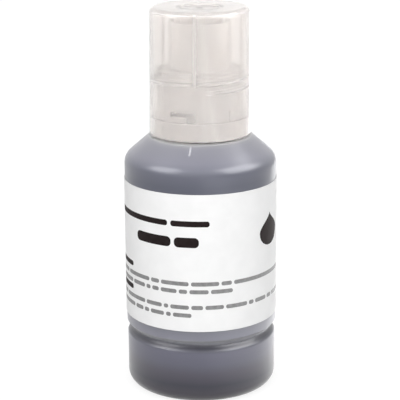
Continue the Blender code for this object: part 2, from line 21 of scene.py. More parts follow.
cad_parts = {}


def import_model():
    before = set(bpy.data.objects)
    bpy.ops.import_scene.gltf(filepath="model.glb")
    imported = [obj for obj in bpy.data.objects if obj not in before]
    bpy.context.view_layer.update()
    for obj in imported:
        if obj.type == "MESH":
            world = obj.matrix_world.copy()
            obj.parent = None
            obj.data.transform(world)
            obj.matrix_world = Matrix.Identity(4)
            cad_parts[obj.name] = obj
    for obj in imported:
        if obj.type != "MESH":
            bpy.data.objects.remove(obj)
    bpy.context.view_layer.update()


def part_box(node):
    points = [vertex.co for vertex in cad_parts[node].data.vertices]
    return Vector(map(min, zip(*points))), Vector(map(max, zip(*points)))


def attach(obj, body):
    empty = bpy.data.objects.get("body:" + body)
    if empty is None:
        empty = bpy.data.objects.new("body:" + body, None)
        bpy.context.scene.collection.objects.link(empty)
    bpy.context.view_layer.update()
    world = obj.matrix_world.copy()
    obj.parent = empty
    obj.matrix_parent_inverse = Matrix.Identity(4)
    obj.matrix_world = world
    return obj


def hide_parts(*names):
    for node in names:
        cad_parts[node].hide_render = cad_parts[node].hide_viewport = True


LOG = logging.getLogger("ink_refill_bottle")

MM = 0.001

# Fineness of the meshes
SEGMENTS = 192
FEW_SEGMENTS = SEGMENTS // 2  # of pieces that are small or lie behind others
FILLET_STEP = math.radians(7)
FILLET_REACH = 0.49  # the most of an outline's side that one fillet may take up
FLAT_CORNER = math.radians(2)  # a corner this close to straight gets no fillet
BEVEL_SHARE = 1 / 3  # bevel of a narrow bar, as a share of its width
BEVEL_FLATS = 4
SHARP_ANGLE = math.radians(32)
WELD = 1e-7
SLIVER = 3e-6  # edges shorter than this are dissolved after a cut

# Noise of the finishes
NOISE_DETAIL = 3.0
PATCH_RANGE = (0.35, 0.65)  # over this part of the noise one tone gives way to the other
GRAIN_RANGE = (0.3, 0.7)  # over this part of the noise the roughness swings

# Fits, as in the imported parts
SEAT_GAP = 0.2 * MM
SLIDE_GAP = 0.3 * MM

Colour = tuple[float, float, float]
Corner = tuple[float, float, float]  # radius, height, fillet


class Body(Enum):
    """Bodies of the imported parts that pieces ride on."""

    BOTTLE = "bottle"
    LINER = "liner"
    CAP = "cap"


class Slot(Enum):
    """Material slots."""

    BOTTLE_WALL = "bottle_wall"
    INK = "ink"
    LABEL_PAPER = "label_paper"
    SEAL_FOAM = "seal_foam"
    COLLAR_PLASTIC = "collar_plastic"
    VALVE_RUBBER = "valve_rubber"
    CAP_PLASTIC = "cap_plastic"


class Cut(Enum):
    """Ways in which a tool changes a piece."""

    JOIN = "UNION"
    REMOVE = "DIFFERENCE"


class Arithmetic(Enum):
    """Ways in which a node works out a value."""

    GREATER_OF = "MAXIMUM"
    MINUS = "SUBTRACT"
    TIMES = "MULTIPLY"
    TIMES_PLUS = "MULTIPLY_ADD"


def feed(tree: bpy.types.NodeTree, slot: bpy.types.NodeSocket, value: bpy.types.NodeSocket | float) -> None:
    """Link a value into a node's input, or write a plain number there.

    Args:
        tree: Node tree of the node.
        slot: The input.
        value: The socket that gives the value, or a number.
    """
    if isinstance(value, bpy.types.NodeSocket):
        tree.links.new(value, slot)
    else:
        slot.default_value = value


def calculated(
    tree: bpy.types.NodeTree,
    rule: Arithmetic,
    *values: bpy.types.NodeSocket | float,
    clamp: bool = False,
) -> bpy.types.NodeSocket:
    """Work out a value from others.

    Args:
        tree: Node tree that the node is added to.
        rule: What is done with the values.
        values: Sockets or numbers, in order.
        clamp: Whether the result is kept between 0 and 1.

    Returns:
        The socket that gives the result.
    """
    node = tree.nodes.new("ShaderNodeMath")
    node.operation = rule.value
    node.use_clamp = clamp
    for slot, value in zip(node.inputs, values):
        feed(tree, slot, value)
    return node.outputs["Value"]


def remapped(
    tree: bpy.types.NodeTree,
    value: bpy.types.NodeSocket,
    source: tuple[float, float],
    target: tuple[bpy.types.NodeSocket | float, float] = (0.0, 1.0),
) -> bpy.types.NodeSocket:
    """Map a range of a value onto another range, and hold it at the ends.

    Args:
        tree: Node tree that the node is added to.
        value: The socket that gives the value.
        source: The range that the value comes from.
        target: The range that it is mapped onto.

    Returns:
        The socket that gives the result.
    """
    node = tree.nodes.new("ShaderNodeMapRange")
    names = ("Value", "From Min", "From Max", "To Min", "To Max")
    for name, entry in zip(names, (value, *source, *target)):
        feed(tree, node.inputs[name], entry)
    return node.outputs["Result"]


@dataclass(frozen=True)
class PaintedLightShadeBand:
    """Tone painted on a wall at one height: partly the wall's own milkiness, mostly painted light and shade.

    Attributes:
        height: Height above the standing ring.
        tone: Colour there.
    """

    height: float
    tone: Colour


@dataclass(frozen=True, kw_only=True)
class Finish(ABC):
    """A finish, made with nodes: a colour, uneven gloss and a fine relief.

    Attributes:
        name: Name of the material.
        roughness: Middle of the roughness.
        unevenness: How far the roughness swings to each side.
        patch: Size of the soft patches in the colour.
        grain: Size of the relief's grain.
        relief: Height of the relief.
        stretch: How much longer patches and grain are upwards than across.
        transmission: Share of light that passes through the surface.
        ior: Index of refraction.
        sheen: Weight of the soft glow at grazing angles.
    """

    name: str
    roughness: float
    unevenness: float
    patch: float
    grain: float
    relief: float
    stretch: float = 1.0
    transmission: float = 0.0
    ior: float = 1.5
    sheen: float = 0.0

    def material(self) -> bpy.types.Material:
        """Build the material.

        Returns:
            A node material with one Principled shader.
        """
        material = bpy.data.materials.new(self.name)
        material.use_nodes = True
        tree = material.node_tree
        shader = tree.nodes["Principled BSDF"]
        shader.inputs["Transmission Weight"].default_value = self.transmission
        shader.inputs["IOR"].default_value = self.ior
        shader.inputs["Sheen Weight"].default_value = self.sheen
        place = tree.nodes.new("ShaderNodeTexCoord")
        squeeze = tree.nodes.new("ShaderNodeMapping")
        squeeze.inputs["Scale"].default_value = (1.0, 1.0, 1.0 / self.stretch)
        tree.links.new(place.outputs["Object"], squeeze.inputs["Vector"])
        colour = self._colour(tree, self._noise(tree, squeeze, self.patch))
        tree.links.new(colour, shader.inputs["Base Color"])
        self._add_gloss(tree, shader, squeeze)
        return material

    @abstractmethod
    def _colour(self, tree: bpy.types.NodeTree, patches: bpy.types.Node) -> bpy.types.NodeSocket:
        """Add the nodes of the base colour.

        Args:
            tree: Node tree of the material.
            patches: Noise with features of the patches' size.

        Returns:
            The socket that gives the colour.
        """

    def _add_gloss(self, tree: bpy.types.NodeTree, shader: bpy.types.Node, place: bpy.types.Node) -> None:
        """Drive the roughness and the relief by a fine grain.

        Args:
            tree: Node tree of the material.
            shader: The shader that takes them.
            place: Node that gives the place on the piece.
        """
        grain = self._noise(tree, place, self.grain).outputs["Fac"]
        swing = (self.roughness - self.unevenness, self.roughness + self.unevenness)
        tree.links.new(remapped(tree, grain, GRAIN_RANGE, swing), shader.inputs["Roughness"])
        bump = tree.nodes.new("ShaderNodeBump")
        bump.inputs["Strength"].default_value = 1.0
        bump.inputs["Distance"].default_value = self.relief
        tree.links.new(grain, bump.inputs["Height"])
        tree.links.new(bump.outputs["Normal"], shader.inputs["Normal"])

    @staticmethod
    def _noise(tree: bpy.types.NodeTree, place: bpy.types.Node, size: float) -> bpy.types.Node:
        """Add soft noise.

        Args:
            tree: Node tree of the material.
            place: Node that gives the place on the piece.
            size: Rough size of the noise's features.

        Returns:
            The noise node.
        """
        noise = tree.nodes.new("ShaderNodeTexNoise")
        noise.inputs["Scale"].default_value = 1.0 / size
        noise.inputs["Detail"].default_value = NOISE_DETAIL
        tree.links.new(place.outputs["Vector"], noise.inputs["Vector"])
        return noise


@dataclass(frozen=True, kw_only=True)
class TwoToneFinish(Finish):
    """A finish whose colour drifts between two tones in soft patches.

    Attributes:
        tone: Main colour.
        drift: Colour that the patches drift towards.
    """

    tone: Colour
    drift: Colour

    def _colour(self, tree: bpy.types.NodeTree, patches: bpy.types.Node) -> bpy.types.NodeSocket:
        """Mix the two tones by the patches.

        Args:
            tree: Node tree of the material.
            patches: Noise with features of the patches' size.

        Returns:
            The socket that gives the mixed colour.
        """
        mix = tree.nodes.new("ShaderNodeMix")
        mix.data_type = "RGBA"
        mix.inputs["A"].default_value = (*self.tone, 1.0)
        mix.inputs["B"].default_value = (*self.drift, 1.0)
        tree.links.new(remapped(tree, patches.outputs["Fac"], PATCH_RANGE), mix.inputs["Factor"])
        return mix.outputs["Result"]


@dataclass(frozen=True, kw_only=True)
class PaintedLightShadeFinish(Finish):
    """A finish whose colour changes with the height, to paint light and shade into it.

    Attributes:
        bands: Tones from low to high.
        wander: How far the patches shift the bands up and down.
    """

    bands: tuple[PaintedLightShadeBand, ...]
    wander: float

    def _colour(self, tree: bpy.types.NodeTree, patches: bpy.types.Node) -> bpy.types.NodeSocket:
        """Run through the bands with the height, shifted a little by the patches.

        Args:
            tree: Node tree of the material.
            patches: Noise with features of the patches' size.

        Returns:
            The socket that gives the colour at the height.
        """
        low, high = self.bands[0].height, self.bands[-1].height
        coordinates = tree.nodes.new("ShaderNodeTexCoord")
        parts = tree.nodes.new("ShaderNodeSeparateXYZ")
        tree.links.new(coordinates.outputs["Object"], parts.inputs["Vector"])
        patch, height = patches.outputs["Fac"], parts.outputs["Z"]
        shifted = calculated(tree, Arithmetic.TIMES_PLUS, patch, 2 * self.wander, height)
        share = remapped(tree, shifted, (low + self.wander, high + self.wander))
        ramp = tree.nodes.new("ShaderNodeValToRGB")
        stops = ramp.color_ramp.elements
        stops[0].color = (*self.bands[0].tone, 1.0)
        stops[1].color = (*self.bands[-1].tone, 1.0)
        for band in self.bands[1:-1]:
            stop = stops.new((band.height - low) / (high - low))
            stop.color = (*band.tone, 1.0)
        tree.links.new(share, ramp.inputs["Fac"])
        return ramp.outputs["Color"]


# Painted light and shade in the wall's bands: darker towards the floor, dark in the groove, a pale painted
# band of light just above the groove, lighter up the shoulder and palest at the land under the cap. Only
# part of the shoulder's paleness is the wall's own milkiness.
SMOKY_WALL_PAINTED_LIGHT_SHADE = PaintedLightShadeFinish(
    name="smoky_wall_painted_light_and_shade",
    roughness=0.31,
    unevenness=0.025,
    patch=14 * MM,
    grain=2.5 * MM,
    relief=0.006 * MM,
    stretch=3.0,
    transmission=0.55,
    sheen=0.25,
    bands=(
        PaintedLightShadeBand(0.0 * MM, (0.16, 0.15, 0.17)),
        PaintedLightShadeBand(3.0 * MM, (0.10, 0.09, 0.12)),
        PaintedLightShadeBand(6.0 * MM, (0.07, 0.07, 0.10)),
        PaintedLightShadeBand(10.0 * MM, (0.16, 0.15, 0.20)),
        PaintedLightShadeBand(13.0 * MM, (0.23, 0.23, 0.31)),
        PaintedLightShadeBand(16.7 * MM, (0.27, 0.27, 0.36)),
        PaintedLightShadeBand(18.2 * MM, (0.07, 0.07, 0.10)),
        PaintedLightShadeBand(19.1 * MM, (0.11, 0.11, 0.15)),
        PaintedLightShadeBand(19.7 * MM, (0.85, 0.86, 0.93)),
        PaintedLightShadeBand(20.6 * MM, (0.92, 0.92, 0.97)),
        PaintedLightShadeBand(21.4 * MM, (0.50, 0.50, 0.60)),
        PaintedLightShadeBand(26.0 * MM, (0.36, 0.37, 0.43)),
        PaintedLightShadeBand(32.0 * MM, (0.24, 0.25, 0.32)),
        PaintedLightShadeBand(70.0 * MM, (0.19, 0.20, 0.27)),
        PaintedLightShadeBand(73.5 * MM, (0.26, 0.27, 0.35)),
        PaintedLightShadeBand(75.0 * MM, (0.33, 0.34, 0.43)),
        PaintedLightShadeBand(77.0 * MM, (0.46, 0.46, 0.56)),
        PaintedLightShadeBand(80.6 * MM, (0.52, 0.52, 0.60)),
        PaintedLightShadeBand(81.2 * MM, (0.60, 0.60, 0.66)),
        PaintedLightShadeBand(81.8 * MM, (0.97, 0.97, 0.98)),
    ),
    wander=0.4 * MM,
)
BLACK_INK = TwoToneFinish(
    name="black_ink",
    tone=(0.012, 0.012, 0.016),
    drift=(0.020, 0.020, 0.028),
    roughness=0.12,
    unevenness=0.03,
    patch=20 * MM,
    grain=8 * MM,
    relief=0.002 * MM,
    ior=1.34,
)
LABEL_PAPER = TwoToneFinish(
    name="white_label_paper",
    tone=(0.90, 0.90, 0.90),
    drift=(0.93, 0.93, 0.93),
    roughness=0.55,
    unevenness=0.05,
    patch=5 * MM,
    grain=0.35 * MM,
    relief=0.004 * MM,
    ior=1.3,
)
PRINT_BLACK = TwoToneFinish(
    name="print_black",
    tone=(0.014, 0.009, 0.009),
    drift=(0.020, 0.014, 0.014),
    roughness=0.55,
    unevenness=0.06,
    patch=2 * MM,
    grain=0.2 * MM,
    relief=0.002 * MM,
    ior=1.16,
)
PRINT_GREY = TwoToneFinish(
    name="print_grey",
    tone=(0.20, 0.20, 0.20),
    drift=(0.26, 0.26, 0.26),
    roughness=0.42,
    unevenness=0.06,
    patch=1.2 * MM,
    grain=0.2 * MM,
    relief=0.002 * MM,
    ior=1.45,
)
SEAL_FOAM = TwoToneFinish(
    name="foamed_seal",
    tone=(0.82, 0.82, 0.80),
    drift=(0.88, 0.88, 0.86),
    roughness=0.62,
    unevenness=0.08,
    patch=2 * MM,
    grain=0.3 * MM,
    relief=0.02 * MM,
)
STAINED_FOAM = TwoToneFinish(
    name="ink_greyed_foam",
    tone=(0.32, 0.29, 0.29),
    drift=(0.42, 0.38, 0.37),
    roughness=0.62,
    unevenness=0.08,
    patch=2 * MM,
    grain=0.3 * MM,
    relief=0.02 * MM,
)
# Painted highlight: the index rib is toned paler than the wall to show the bright line along it.
RIB_PAINTED_HIGHLIGHT = TwoToneFinish(
    name="index_rib_painted_highlight",
    tone=(0.50, 0.50, 0.54),
    drift=(0.58, 0.58, 0.62),
    roughness=0.35,
    unevenness=0.04,
    patch=1 * MM,
    grain=0.4 * MM,
    relief=0.003 * MM,
)
MILKY_COLLAR = TwoToneFinish(
    name="milky_polypropylene",
    tone=(0.985, 0.955, 0.935),
    drift=(0.99, 0.97, 0.955),
    roughness=0.2,
    unevenness=0.04,
    patch=6 * MM,
    grain=0.6 * MM,
    relief=0.004 * MM,
    transmission=0.72,
)
GREY_SILICONE = TwoToneFinish(
    name="ink_greyed_silicone",
    tone=(0.07, 0.07, 0.08),
    drift=(0.12, 0.12, 0.13),
    roughness=0.5,
    unevenness=0.06,
    patch=2 * MM,
    grain=0.5 * MM,
    relief=0.008 * MM,
    ior=1.41,
)
FROSTED_CAP = TwoToneFinish(
    name="frosted_polypropylene",
    tone=(0.99, 0.955, 0.935),
    drift=(0.995, 0.97, 0.952),
    roughness=0.14,
    unevenness=0.02,
    patch=9 * MM,
    grain=0.5 * MM,
    relief=0.001 * MM,
    stretch=2.0,
    transmission=0.8,
    ior=1.38,
)
CAP_RIB_MILK = TwoToneFinish(
    name="milky_cap_rib",
    tone=(0.75, 0.725, 0.71),
    drift=(0.79, 0.765, 0.75),
    roughness=0.4,
    unevenness=0.04,
    patch=2 * MM,
    grain=0.5 * MM,
    relief=0.002 * MM,
    transmission=0.3,
)


def rounded(corners: Sequence[Corner]) -> list[Vector]:
    """Draw an outline with its fillets as arcs.

    Args:
        corners: Corners as radius, height and fillet.

    Returns:
        Points of the outline as (radius, height).
    """
    points = [Vector(corners[0][:2])]
    for before, here, after in zip(corners, corners[1:], corners[2:]):
        corner = Vector(here[:2])
        back = Vector(before[:2]) - corner
        ahead = Vector(after[:2]) - corner
        opening = back.angle(ahead)
        if here[2] <= 0 or opening > math.pi - FLAT_CORNER:
            points.append(corner)
            continue
        slope = math.tan(opening / 2)
        reach = min(here[2] / slope, FILLET_REACH * back.length, FILLET_REACH * ahead.length)
        radius = reach * slope
        middle = (back.normalized() + ahead.normalized()).normalized()
        centre = corner + middle * radius / math.sin(opening / 2)
        start = corner + back.normalized() * reach - centre
        finish = corner + ahead.normalized() * reach - centre
        turn = math.atan2(start.x * finish.y - start.y * finish.x, start.dot(finish))
        flats = max(2, math.ceil(abs(turn) / FILLET_STEP))
        for step in range(flats + 1):
            arm = start.copy()
            arm.rotate(Matrix.Rotation(turn * step / flats, 2))
            points.append(centre + arm)
    points.append(Vector(corners[-1][:2]))
    return points


def on_bearing(radius: float, bearing: float, height: float) -> Vector:
    """Point at a radius, a bearing in degrees and a height."""
    angle = math.radians(bearing)
    return Vector((radius * math.sin(angle), -radius * math.cos(angle), height))


def even_bearings(count: int) -> list[float]:
    """Bearings all round, at even steps."""
    return [360.0 * index / count for index in range(count)]


def finished_object(name: str, bm: bmesh.types.BMesh) -> bpy.types.Object:
    """Turn a bmesh into a linked object with faces that point out.

    Args:
        name: Name of the object and of its mesh.
        bm: The bmesh, which is freed.

    Returns:
        The linked object.
    """
    bmesh.ops.remove_doubles(bm, verts=bm.verts, dist=WELD)
    bmesh.ops.recalc_face_normals(bm, faces=bm.faces)
    mesh = bpy.data.meshes.new(name)
    bm.to_mesh(mesh)
    bm.free()
    obj = bpy.data.objects.new(name, mesh)
    bpy.context.scene.collection.objects.link(obj)
    return obj


def revolve(
    name: str,
    outline: Sequence[Vector],
    bearings: Sequence[float],
    closed: bool = False,
    swell: Callable[[Vector, float], float] | None = None,
) -> bpy.types.Object:
    """Turn an outline about Z.

    Args:
        name: Name of the object.
        outline: Points as (radius, height). An open outline starts and ends on the axis.
        bearings: Bearings of the outline's copies, in order round the axis.
        closed: Whether the last point joins the first.
        swell: Extra radius at a point of the outline and a bearing.

    Returns:
        The turned object.
    """
    bm = bmesh.new()
    rings: list[list[bmesh.types.BMVert]] = []
    for point in outline:
        if point.x < WELD:
            rings.append([bm.verts.new((0.0, 0.0, point.y))])
            continue
        extra = [swell(point, bearing) if swell else 0.0 for bearing in bearings]
        rings.append([bm.verts.new(on_bearing(point.x + e, b, point.y)) for e, b in zip(extra, bearings)])
    pairs = list(zip(rings, rings[1:]))
    if closed:
        pairs.append((rings[-1], rings[0]))
    count = len(bearings)
    for first, second in pairs:
        for index in range(count):
            following = (index + 1) % count
            face = []
            for ring, order in ((first, (index, following)), (second, (following, index))):
                face += ring if len(ring) == 1 else [ring[step] for step in order]
            if len(face) > 2:
                bm.faces.new(face)
    return finished_object(name, bm)


def sector(
    name: str,
    radii: tuple[float, float],
    heights: tuple[float, float],
    span: tuple[float, float],
    lean: float = 0.0,
) -> bpy.types.Object:
    """Block between two radii, two heights and two bearings.

    Args:
        name: Name of the object.
        radii: Inner and outer radius.
        heights: Lower and upper height.
        span: First and last bearing.
        lean: How much smaller both radii are at the upper height.

    Returns:
        The block as a closed mesh.
    """
    steps = max(2, math.ceil((span[1] - span[0]) / (360 / SEGMENTS)))
    (inner, outer), (low, high) = radii, heights
    section = [(inner, low), (outer, low), (outer - lean, high), (inner - lean, high)]
    bm = bmesh.new()
    rows = []
    for step in range(steps + 1):
        bearing = span[0] + (span[1] - span[0]) * step / steps
        rows.append([bm.verts.new(on_bearing(radius, bearing, height)) for radius, height in section])
    loft(bm, rows)
    return finished_object(name, bm)


def loft(bm: bmesh.types.BMesh, rows: Sequence[Sequence[bmesh.types.BMVert]]) -> None:
    """Join rows of a closed section with quads and close both ends.

    Args:
        bm: The bmesh that holds the rows.
        rows: Corners of the section, a row for each place that it passes.
    """
    for first, second in zip(rows, rows[1:]):
        for index in range(len(first)):
            following = (index + 1) % len(first)
            bm.faces.new((first[index], first[following], second[following], second[index]))
    bm.faces.new(rows[0])
    bm.faces.new(rows[-1])


def block(size: tuple[float, float, float]) -> bmesh.types.BMesh:
    """Make a block about the origin.

    Args:
        size: Its sides along X, Y and Z.

    Returns:
        The block as a bmesh.
    """
    bm = bmesh.new()
    bmesh.ops.create_cube(bm, size=1.0)
    bmesh.ops.transform(bm, matrix=Matrix.Diagonal((*size, 1.0)), verts=bm.verts)
    return bm


def shape_with(target: bpy.types.Object, tool: bpy.types.Object, cut: Cut) -> None:
    """Join a tool to a piece or cut it out, clear the slivers, and remove the tool.

    Args:
        target: The piece, which gets the new mesh.
        tool: The closed mesh to join or cut out.
        cut: Which of the two is done.
    """
    boolean = target.modifiers.new(tool.name, "BOOLEAN")
    boolean.operation = cut.value
    boolean.object = tool
    boolean.solver = "EXACT"
    evaluated = target.evaluated_get(bpy.context.evaluated_depsgraph_get())
    mesh = bpy.data.meshes.new_from_object(evaluated)
    target.modifiers.clear()
    bm = bmesh.new()
    bm.from_mesh(mesh)
    bmesh.ops.dissolve_degenerate(bm, dist=SLIVER, edges=bm.edges)
    bm.to_mesh(mesh)
    bm.free()
    target.data = mesh
    bpy.data.objects.remove(tool, do_unlink=True)


def dress(
    piece: bpy.types.Object,
    finish: bpy.types.Material,
    body: Body,
    slot: Slot,
    *stands_for: str,
) -> None:
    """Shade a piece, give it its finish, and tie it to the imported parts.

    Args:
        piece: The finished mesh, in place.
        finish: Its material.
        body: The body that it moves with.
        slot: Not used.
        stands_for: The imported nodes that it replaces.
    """
    piece.data.materials.clear()
    piece.data.materials.append(finish)
    piece.data.shade_smooth()
    piece.data.set_sharp_from_angle(angle=SHARP_ANGLE)
    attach(piece, body.value)
    if stands_for:
        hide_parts(*stands_for)
    LOG.info("%s: %d faces, rides on %s", piece.name, len(piece.data.polygons), body.value)


@dataclass
class Thread:
    """Right-hand screw thread of the spout collar and the cap."""

    pitch: float = 3.0 * MM
    turns: float = 1.25
    root_width: float = 1.2 * MM
    crest_width: float = 0.6 * MM
    crest_rounding: float = 0.12 * MM
    lead_in: float = 0.08  # share of a turn over which each end fades out
    sink: float = 0.3 * MM
    end_share: float = 0.12  # share of the ridge that is left at its ends

    def ridge(self, name: str, wall: float, crest: float, low: float) -> bpy.types.Object:
        """Build the ridge.

        Args:
            name: Name of the object.
            wall: Radius of the wall that carries it.
            crest: Radius of its crest, on either side of the wall.
            low: Height of the middle of its lower end.

        Returns:
            The ridge as a closed mesh that reaches a little into the wall.
        """
        outward = math.copysign(1.0, crest - wall)
        root = wall - outward * self.sink
        half_crest = self.crest_width / 2
        flank = (self.root_width - self.crest_width) / 2 / abs(crest - wall)
        half_root = half_crest + flank * abs(crest - root)
        ease = self.crest_rounding
        section = [
            (root, -half_root),
            (crest - outward * ease, -half_crest - flank * ease),
            (crest, -half_crest + ease),
            (crest, half_crest - ease),
            (crest - outward * ease, half_crest + flank * ease),
            (root, half_root),
        ]
        bm = bmesh.new()
        rows = []
        steps = round(SEGMENTS * self.turns)
        for step in range(steps + 1):
            along = self.turns * step / steps
            share = min(1.0, along / self.lead_in, (self.turns - along) / self.lead_in)
            share = max(math.sin(share * math.pi / 2), self.end_share)
            rise = low + self.pitch * along
            faded = [(root + (radius - root) * share, rise + height) for radius, height in section]
            rows.append([bm.verts.new(on_bearing(radius, 360 * along, height)) for radius, height in faded])
        loft(bm, rows)
        return finished_object(name, bm)


@dataclass
class Bottle:
    """Blow-moulded bottle and the ink in it."""

    wall: float = 1.0 * MM
    shoulder_slope: float = math.radians(41)
    shoulder_fillet: float = 4.3 * MM
    land_edge: float = 16.18 * MM
    land_fillet: float = 0.8 * MM
    groove_height: float = 19.2 * MM
    groove_depth: float = 1.6 * MM
    groove_half_width: float = 2.2 * MM
    groove_ease: float = 0.8  # widening of the groove inside the wall, as a share of the wall
    groove_flats: int = 28
    foot_step: float = 0.25 * MM  # below the groove the radius is smaller by this much
    base_fillet: float = 5.0 * MM
    ring_width: float = 3.25 * MM
    dome_edge_width: float = 2.6 * MM
    dome_edge_rise: float = 1.9 * MM
    dome_rise: float = 2.9 * MM
    neck_radius: float = 11.1 * MM
    neck_wall: float = 1.4 * MM
    rim_fillet: float = 0.3 * MM
    bead_stand_out: float = 0.55 * MM
    bead_height: float = 1.4 * MM
    bead_chamfer: float = 0.35 * MM
    bead_above_land: float = 1.8 * MM
    lug_outer: float = 12.75 * MM
    lug_low: float = 89.54 * MM
    lug_high: float = 90.64 * MM
    lug_starts: tuple[float, float] = (-51.8, 128.2)
    lug_span: float = 8.0
    rib_bearing: float = -10.0
    rib_length: float = 3.2 * MM
    rib_width: float = 0.6 * MM
    rib_stand_out: float = 0.3 * MM
    seam_bearings: tuple[float, float] = (90.0, 270.0)
    seam_height: float = 0.06 * MM
    seam_width: float = 0.22 * MM
    seam_flats: int = 3  # on each side of a seam's crest
    pinch_length: float = 17.0 * MM
    pinch_width: float = 0.9 * MM
    pinch_stand_out: float = 0.35 * MM
    ink_bite: float = 0.05 * MM  # the ink wets the wall, so its surface lies just inside it
    radius: float = field(init=False)
    neck_top: float = field(init=False)
    land: float = field(init=False)
    ink_level: float = field(init=False)

    def __post_init__(self) -> None:
        """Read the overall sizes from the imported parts."""
        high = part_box("bottle")[1]
        self.radius = high.x
        self.neck_top = high.z
        self.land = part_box("spout_collar")[0].z - SEAT_GAP
        self.ink_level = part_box("ink")[1].z

    def body_corners(self, inset: float, neck_radius: float) -> list[Corner]:
        """Draw the body from the foot of the neck down to the base's centre.

        Args:
            inset: How far the outline lies inside the wall's outer surface.
            neck_radius: Radius at the foot of the neck.

        Returns:
            Corners with their fillets, and the groove as a row of points.
        """
        side = self.radius - inset
        land = self.land - inset
        drop = (self.radius - self.land_edge) * math.tan(self.shoulder_slope)
        corner = self.land - drop - inset * math.tan((math.pi / 2 - self.shoulder_slope) / 2)
        land_edge = side - (land - corner) / math.tan(self.shoulder_slope)
        half_width = self.groove_half_width + self.groove_ease * inset
        corners = [
            (neck_radius, land, self.land_fillet),
            (land_edge, land, self.land_fillet),
            (side, corner, self.shoulder_fillet - inset),
        ]
        for step in range(self.groove_flats + 1):
            across = 2 * step / self.groove_flats - 1
            depth = self._groove_depth(across) + self.foot_step * (1 + across) / 2
            corners.append((side - depth, self.groove_height - half_width * across, 0.0))
        ring_inner = self.radius - self.foot_step - self.base_fillet - self.ring_width
        corners += [
            (side - self.foot_step, inset, self.base_fillet - inset),
            (ring_inner, inset, self.land_fillet),
            (ring_inner - self.dome_edge_width, self.dome_edge_rise + inset, self.land_fillet),
            (0.0, self.dome_rise + inset, 0.0),
        ]
        return corners

    def _groove_depth(self, across: float) -> float:
        """Depth of the groove at a share of its half width from its middle."""
        return self.groove_depth * (1 + math.cos(math.pi * across)) / 2

    def build(self) -> None:
        """Build the bottle's wall, the ink and the index rib."""
        wall = self._wall()
        dress(wall, SMOKY_WALL_PAINTED_LIGHT_SHADE.material(), Body.BOTTLE, Slot.BOTTLE_WALL, "bottle")
        inset = self.wall - self.ink_bite
        bore = self.neck_radius - self.neck_wall + self.ink_bite
        surface = [(0.0, self.ink_level, 0.0), (bore, self.ink_level, 0.0)]
        outline = rounded(surface + self.body_corners(inset, bore))
        ink = revolve("ink_fill", outline, even_bearings(FEW_SEGMENTS))
        dress(ink, BLACK_INK.material(), Body.BOTTLE, Slot.INK, "ink")
        # The index rib's paler tone is a painted highlight.
        dress(self._index_rib(), RIB_PAINTED_HIGHLIGHT.material(), Body.BOTTLE, Slot.BOTTLE_WALL)

    def _wall(self) -> bpy.types.Object:
        """Turn the wall, then add its two locking lugs and the base's weld.

        Returns:
            The bottle without its ink and its index rib.
        """
        bore = self.neck_radius - self.neck_wall
        bead_low = self.land + self.bead_above_land
        bead_high = bead_low + self.bead_height
        bead = self.neck_radius + self.bead_stand_out
        ease = self.bead_chamfer
        neck = [
            (bore, self.neck_top, self.rim_fillet),
            (self.neck_radius, self.neck_top, self.rim_fillet),
            (self.neck_radius, bead_high, 0.0),
            (bead, bead_high, ease),
            (bead, bead_low, ease),
            (self.neck_radius, bead_low, 0.0),
        ]
        inside = self.body_corners(self.wall, bore)[::-1]
        outline = rounded(inside + neck + self.body_corners(0.0, self.neck_radius))
        wall = revolve("bottle_shell", outline, self._bearings(), swell=self._seam)
        for number, start in enumerate(self.lug_starts, 1):
            radii = (bore + self.neck_wall / 2, self.lug_outer)
            span = (start, start + self.lug_span)
            lug = sector(f"neck_lug_{number}", radii, (self.lug_low, self.lug_high), span)
            shape_with(wall, lug, Cut.JOIN)
        shape_with(wall, self._pinch_off(), Cut.JOIN)
        return wall

    def _bearings(self) -> list[float]:
        """Space the wall's bearings.

        Returns:
            Even bearings, with more of them at the two mould seams.
        """
        steps = range(-self.seam_flats, self.seam_flats + 1)
        near = [math.degrees(self.seam_width * step / self.seam_flats / self.radius) for step in steps]
        seams = [side + offset for side in self.seam_bearings for offset in near]
        spacing = 360 / SEGMENTS / 2
        plain = [b for b in even_bearings(SEGMENTS) if min(abs(b - s) for s in seams) > spacing]
        return sorted(plain + seams)

    def _seam(self, point: Vector, bearing: float) -> float:
        """Raise the mould seams on the outside of the body.

        Args:
            point: Point of the wall's outline.
            bearing: Bearing in degrees.

        Returns:
            Height of the seam there.
        """
        offset = min(abs(bearing - side) for side in self.seam_bearings)
        distance = math.radians(offset) * self.radius
        outside = point.x > self.land_edge and not self._is_inner(point)
        if not outside or distance > self.seam_width:
            return 0.0
        return self.seam_height * (1 + math.cos(math.pi * distance / self.seam_width)) / 2

    def _is_inner(self, point: Vector) -> bool:
        """Tell the wall's inner side from its outer one.

        Args:
            point: Point of the body's outline.

        Returns:
            Whether the point lies on the inner side, or outside the stretch that has seams.
        """
        across = (point.y - self.groove_height) / self.groove_half_width
        if abs(across) < 1:
            return point.x < self.radius - self._groove_depth(across) - self.foot_step - self.wall / 2
        past_fillets = self.base_fillet < point.y < self.land - self.shoulder_fillet * 2
        return point.x < self.radius - self.wall / 2 or not past_fillets

    def _pinch_off(self) -> bpy.types.Object:
        """Build the low weld across the base's dome, where the mould pinched the blown tube shut.

        Returns:
            The weld, which reaches into the wall.
        """
        bm = block((self.pinch_length, self.pinch_width, self.pinch_stand_out + self.wall / 2))
        self._bevel(bm, bm.edges, self.pinch_width)
        middle = self.dome_rise + (self.wall / 2 - self.pinch_stand_out) / 2
        bmesh.ops.translate(bm, vec=(0.0, 0.0, middle), verts=bm.verts)
        return finished_object("pinch_off", bm)

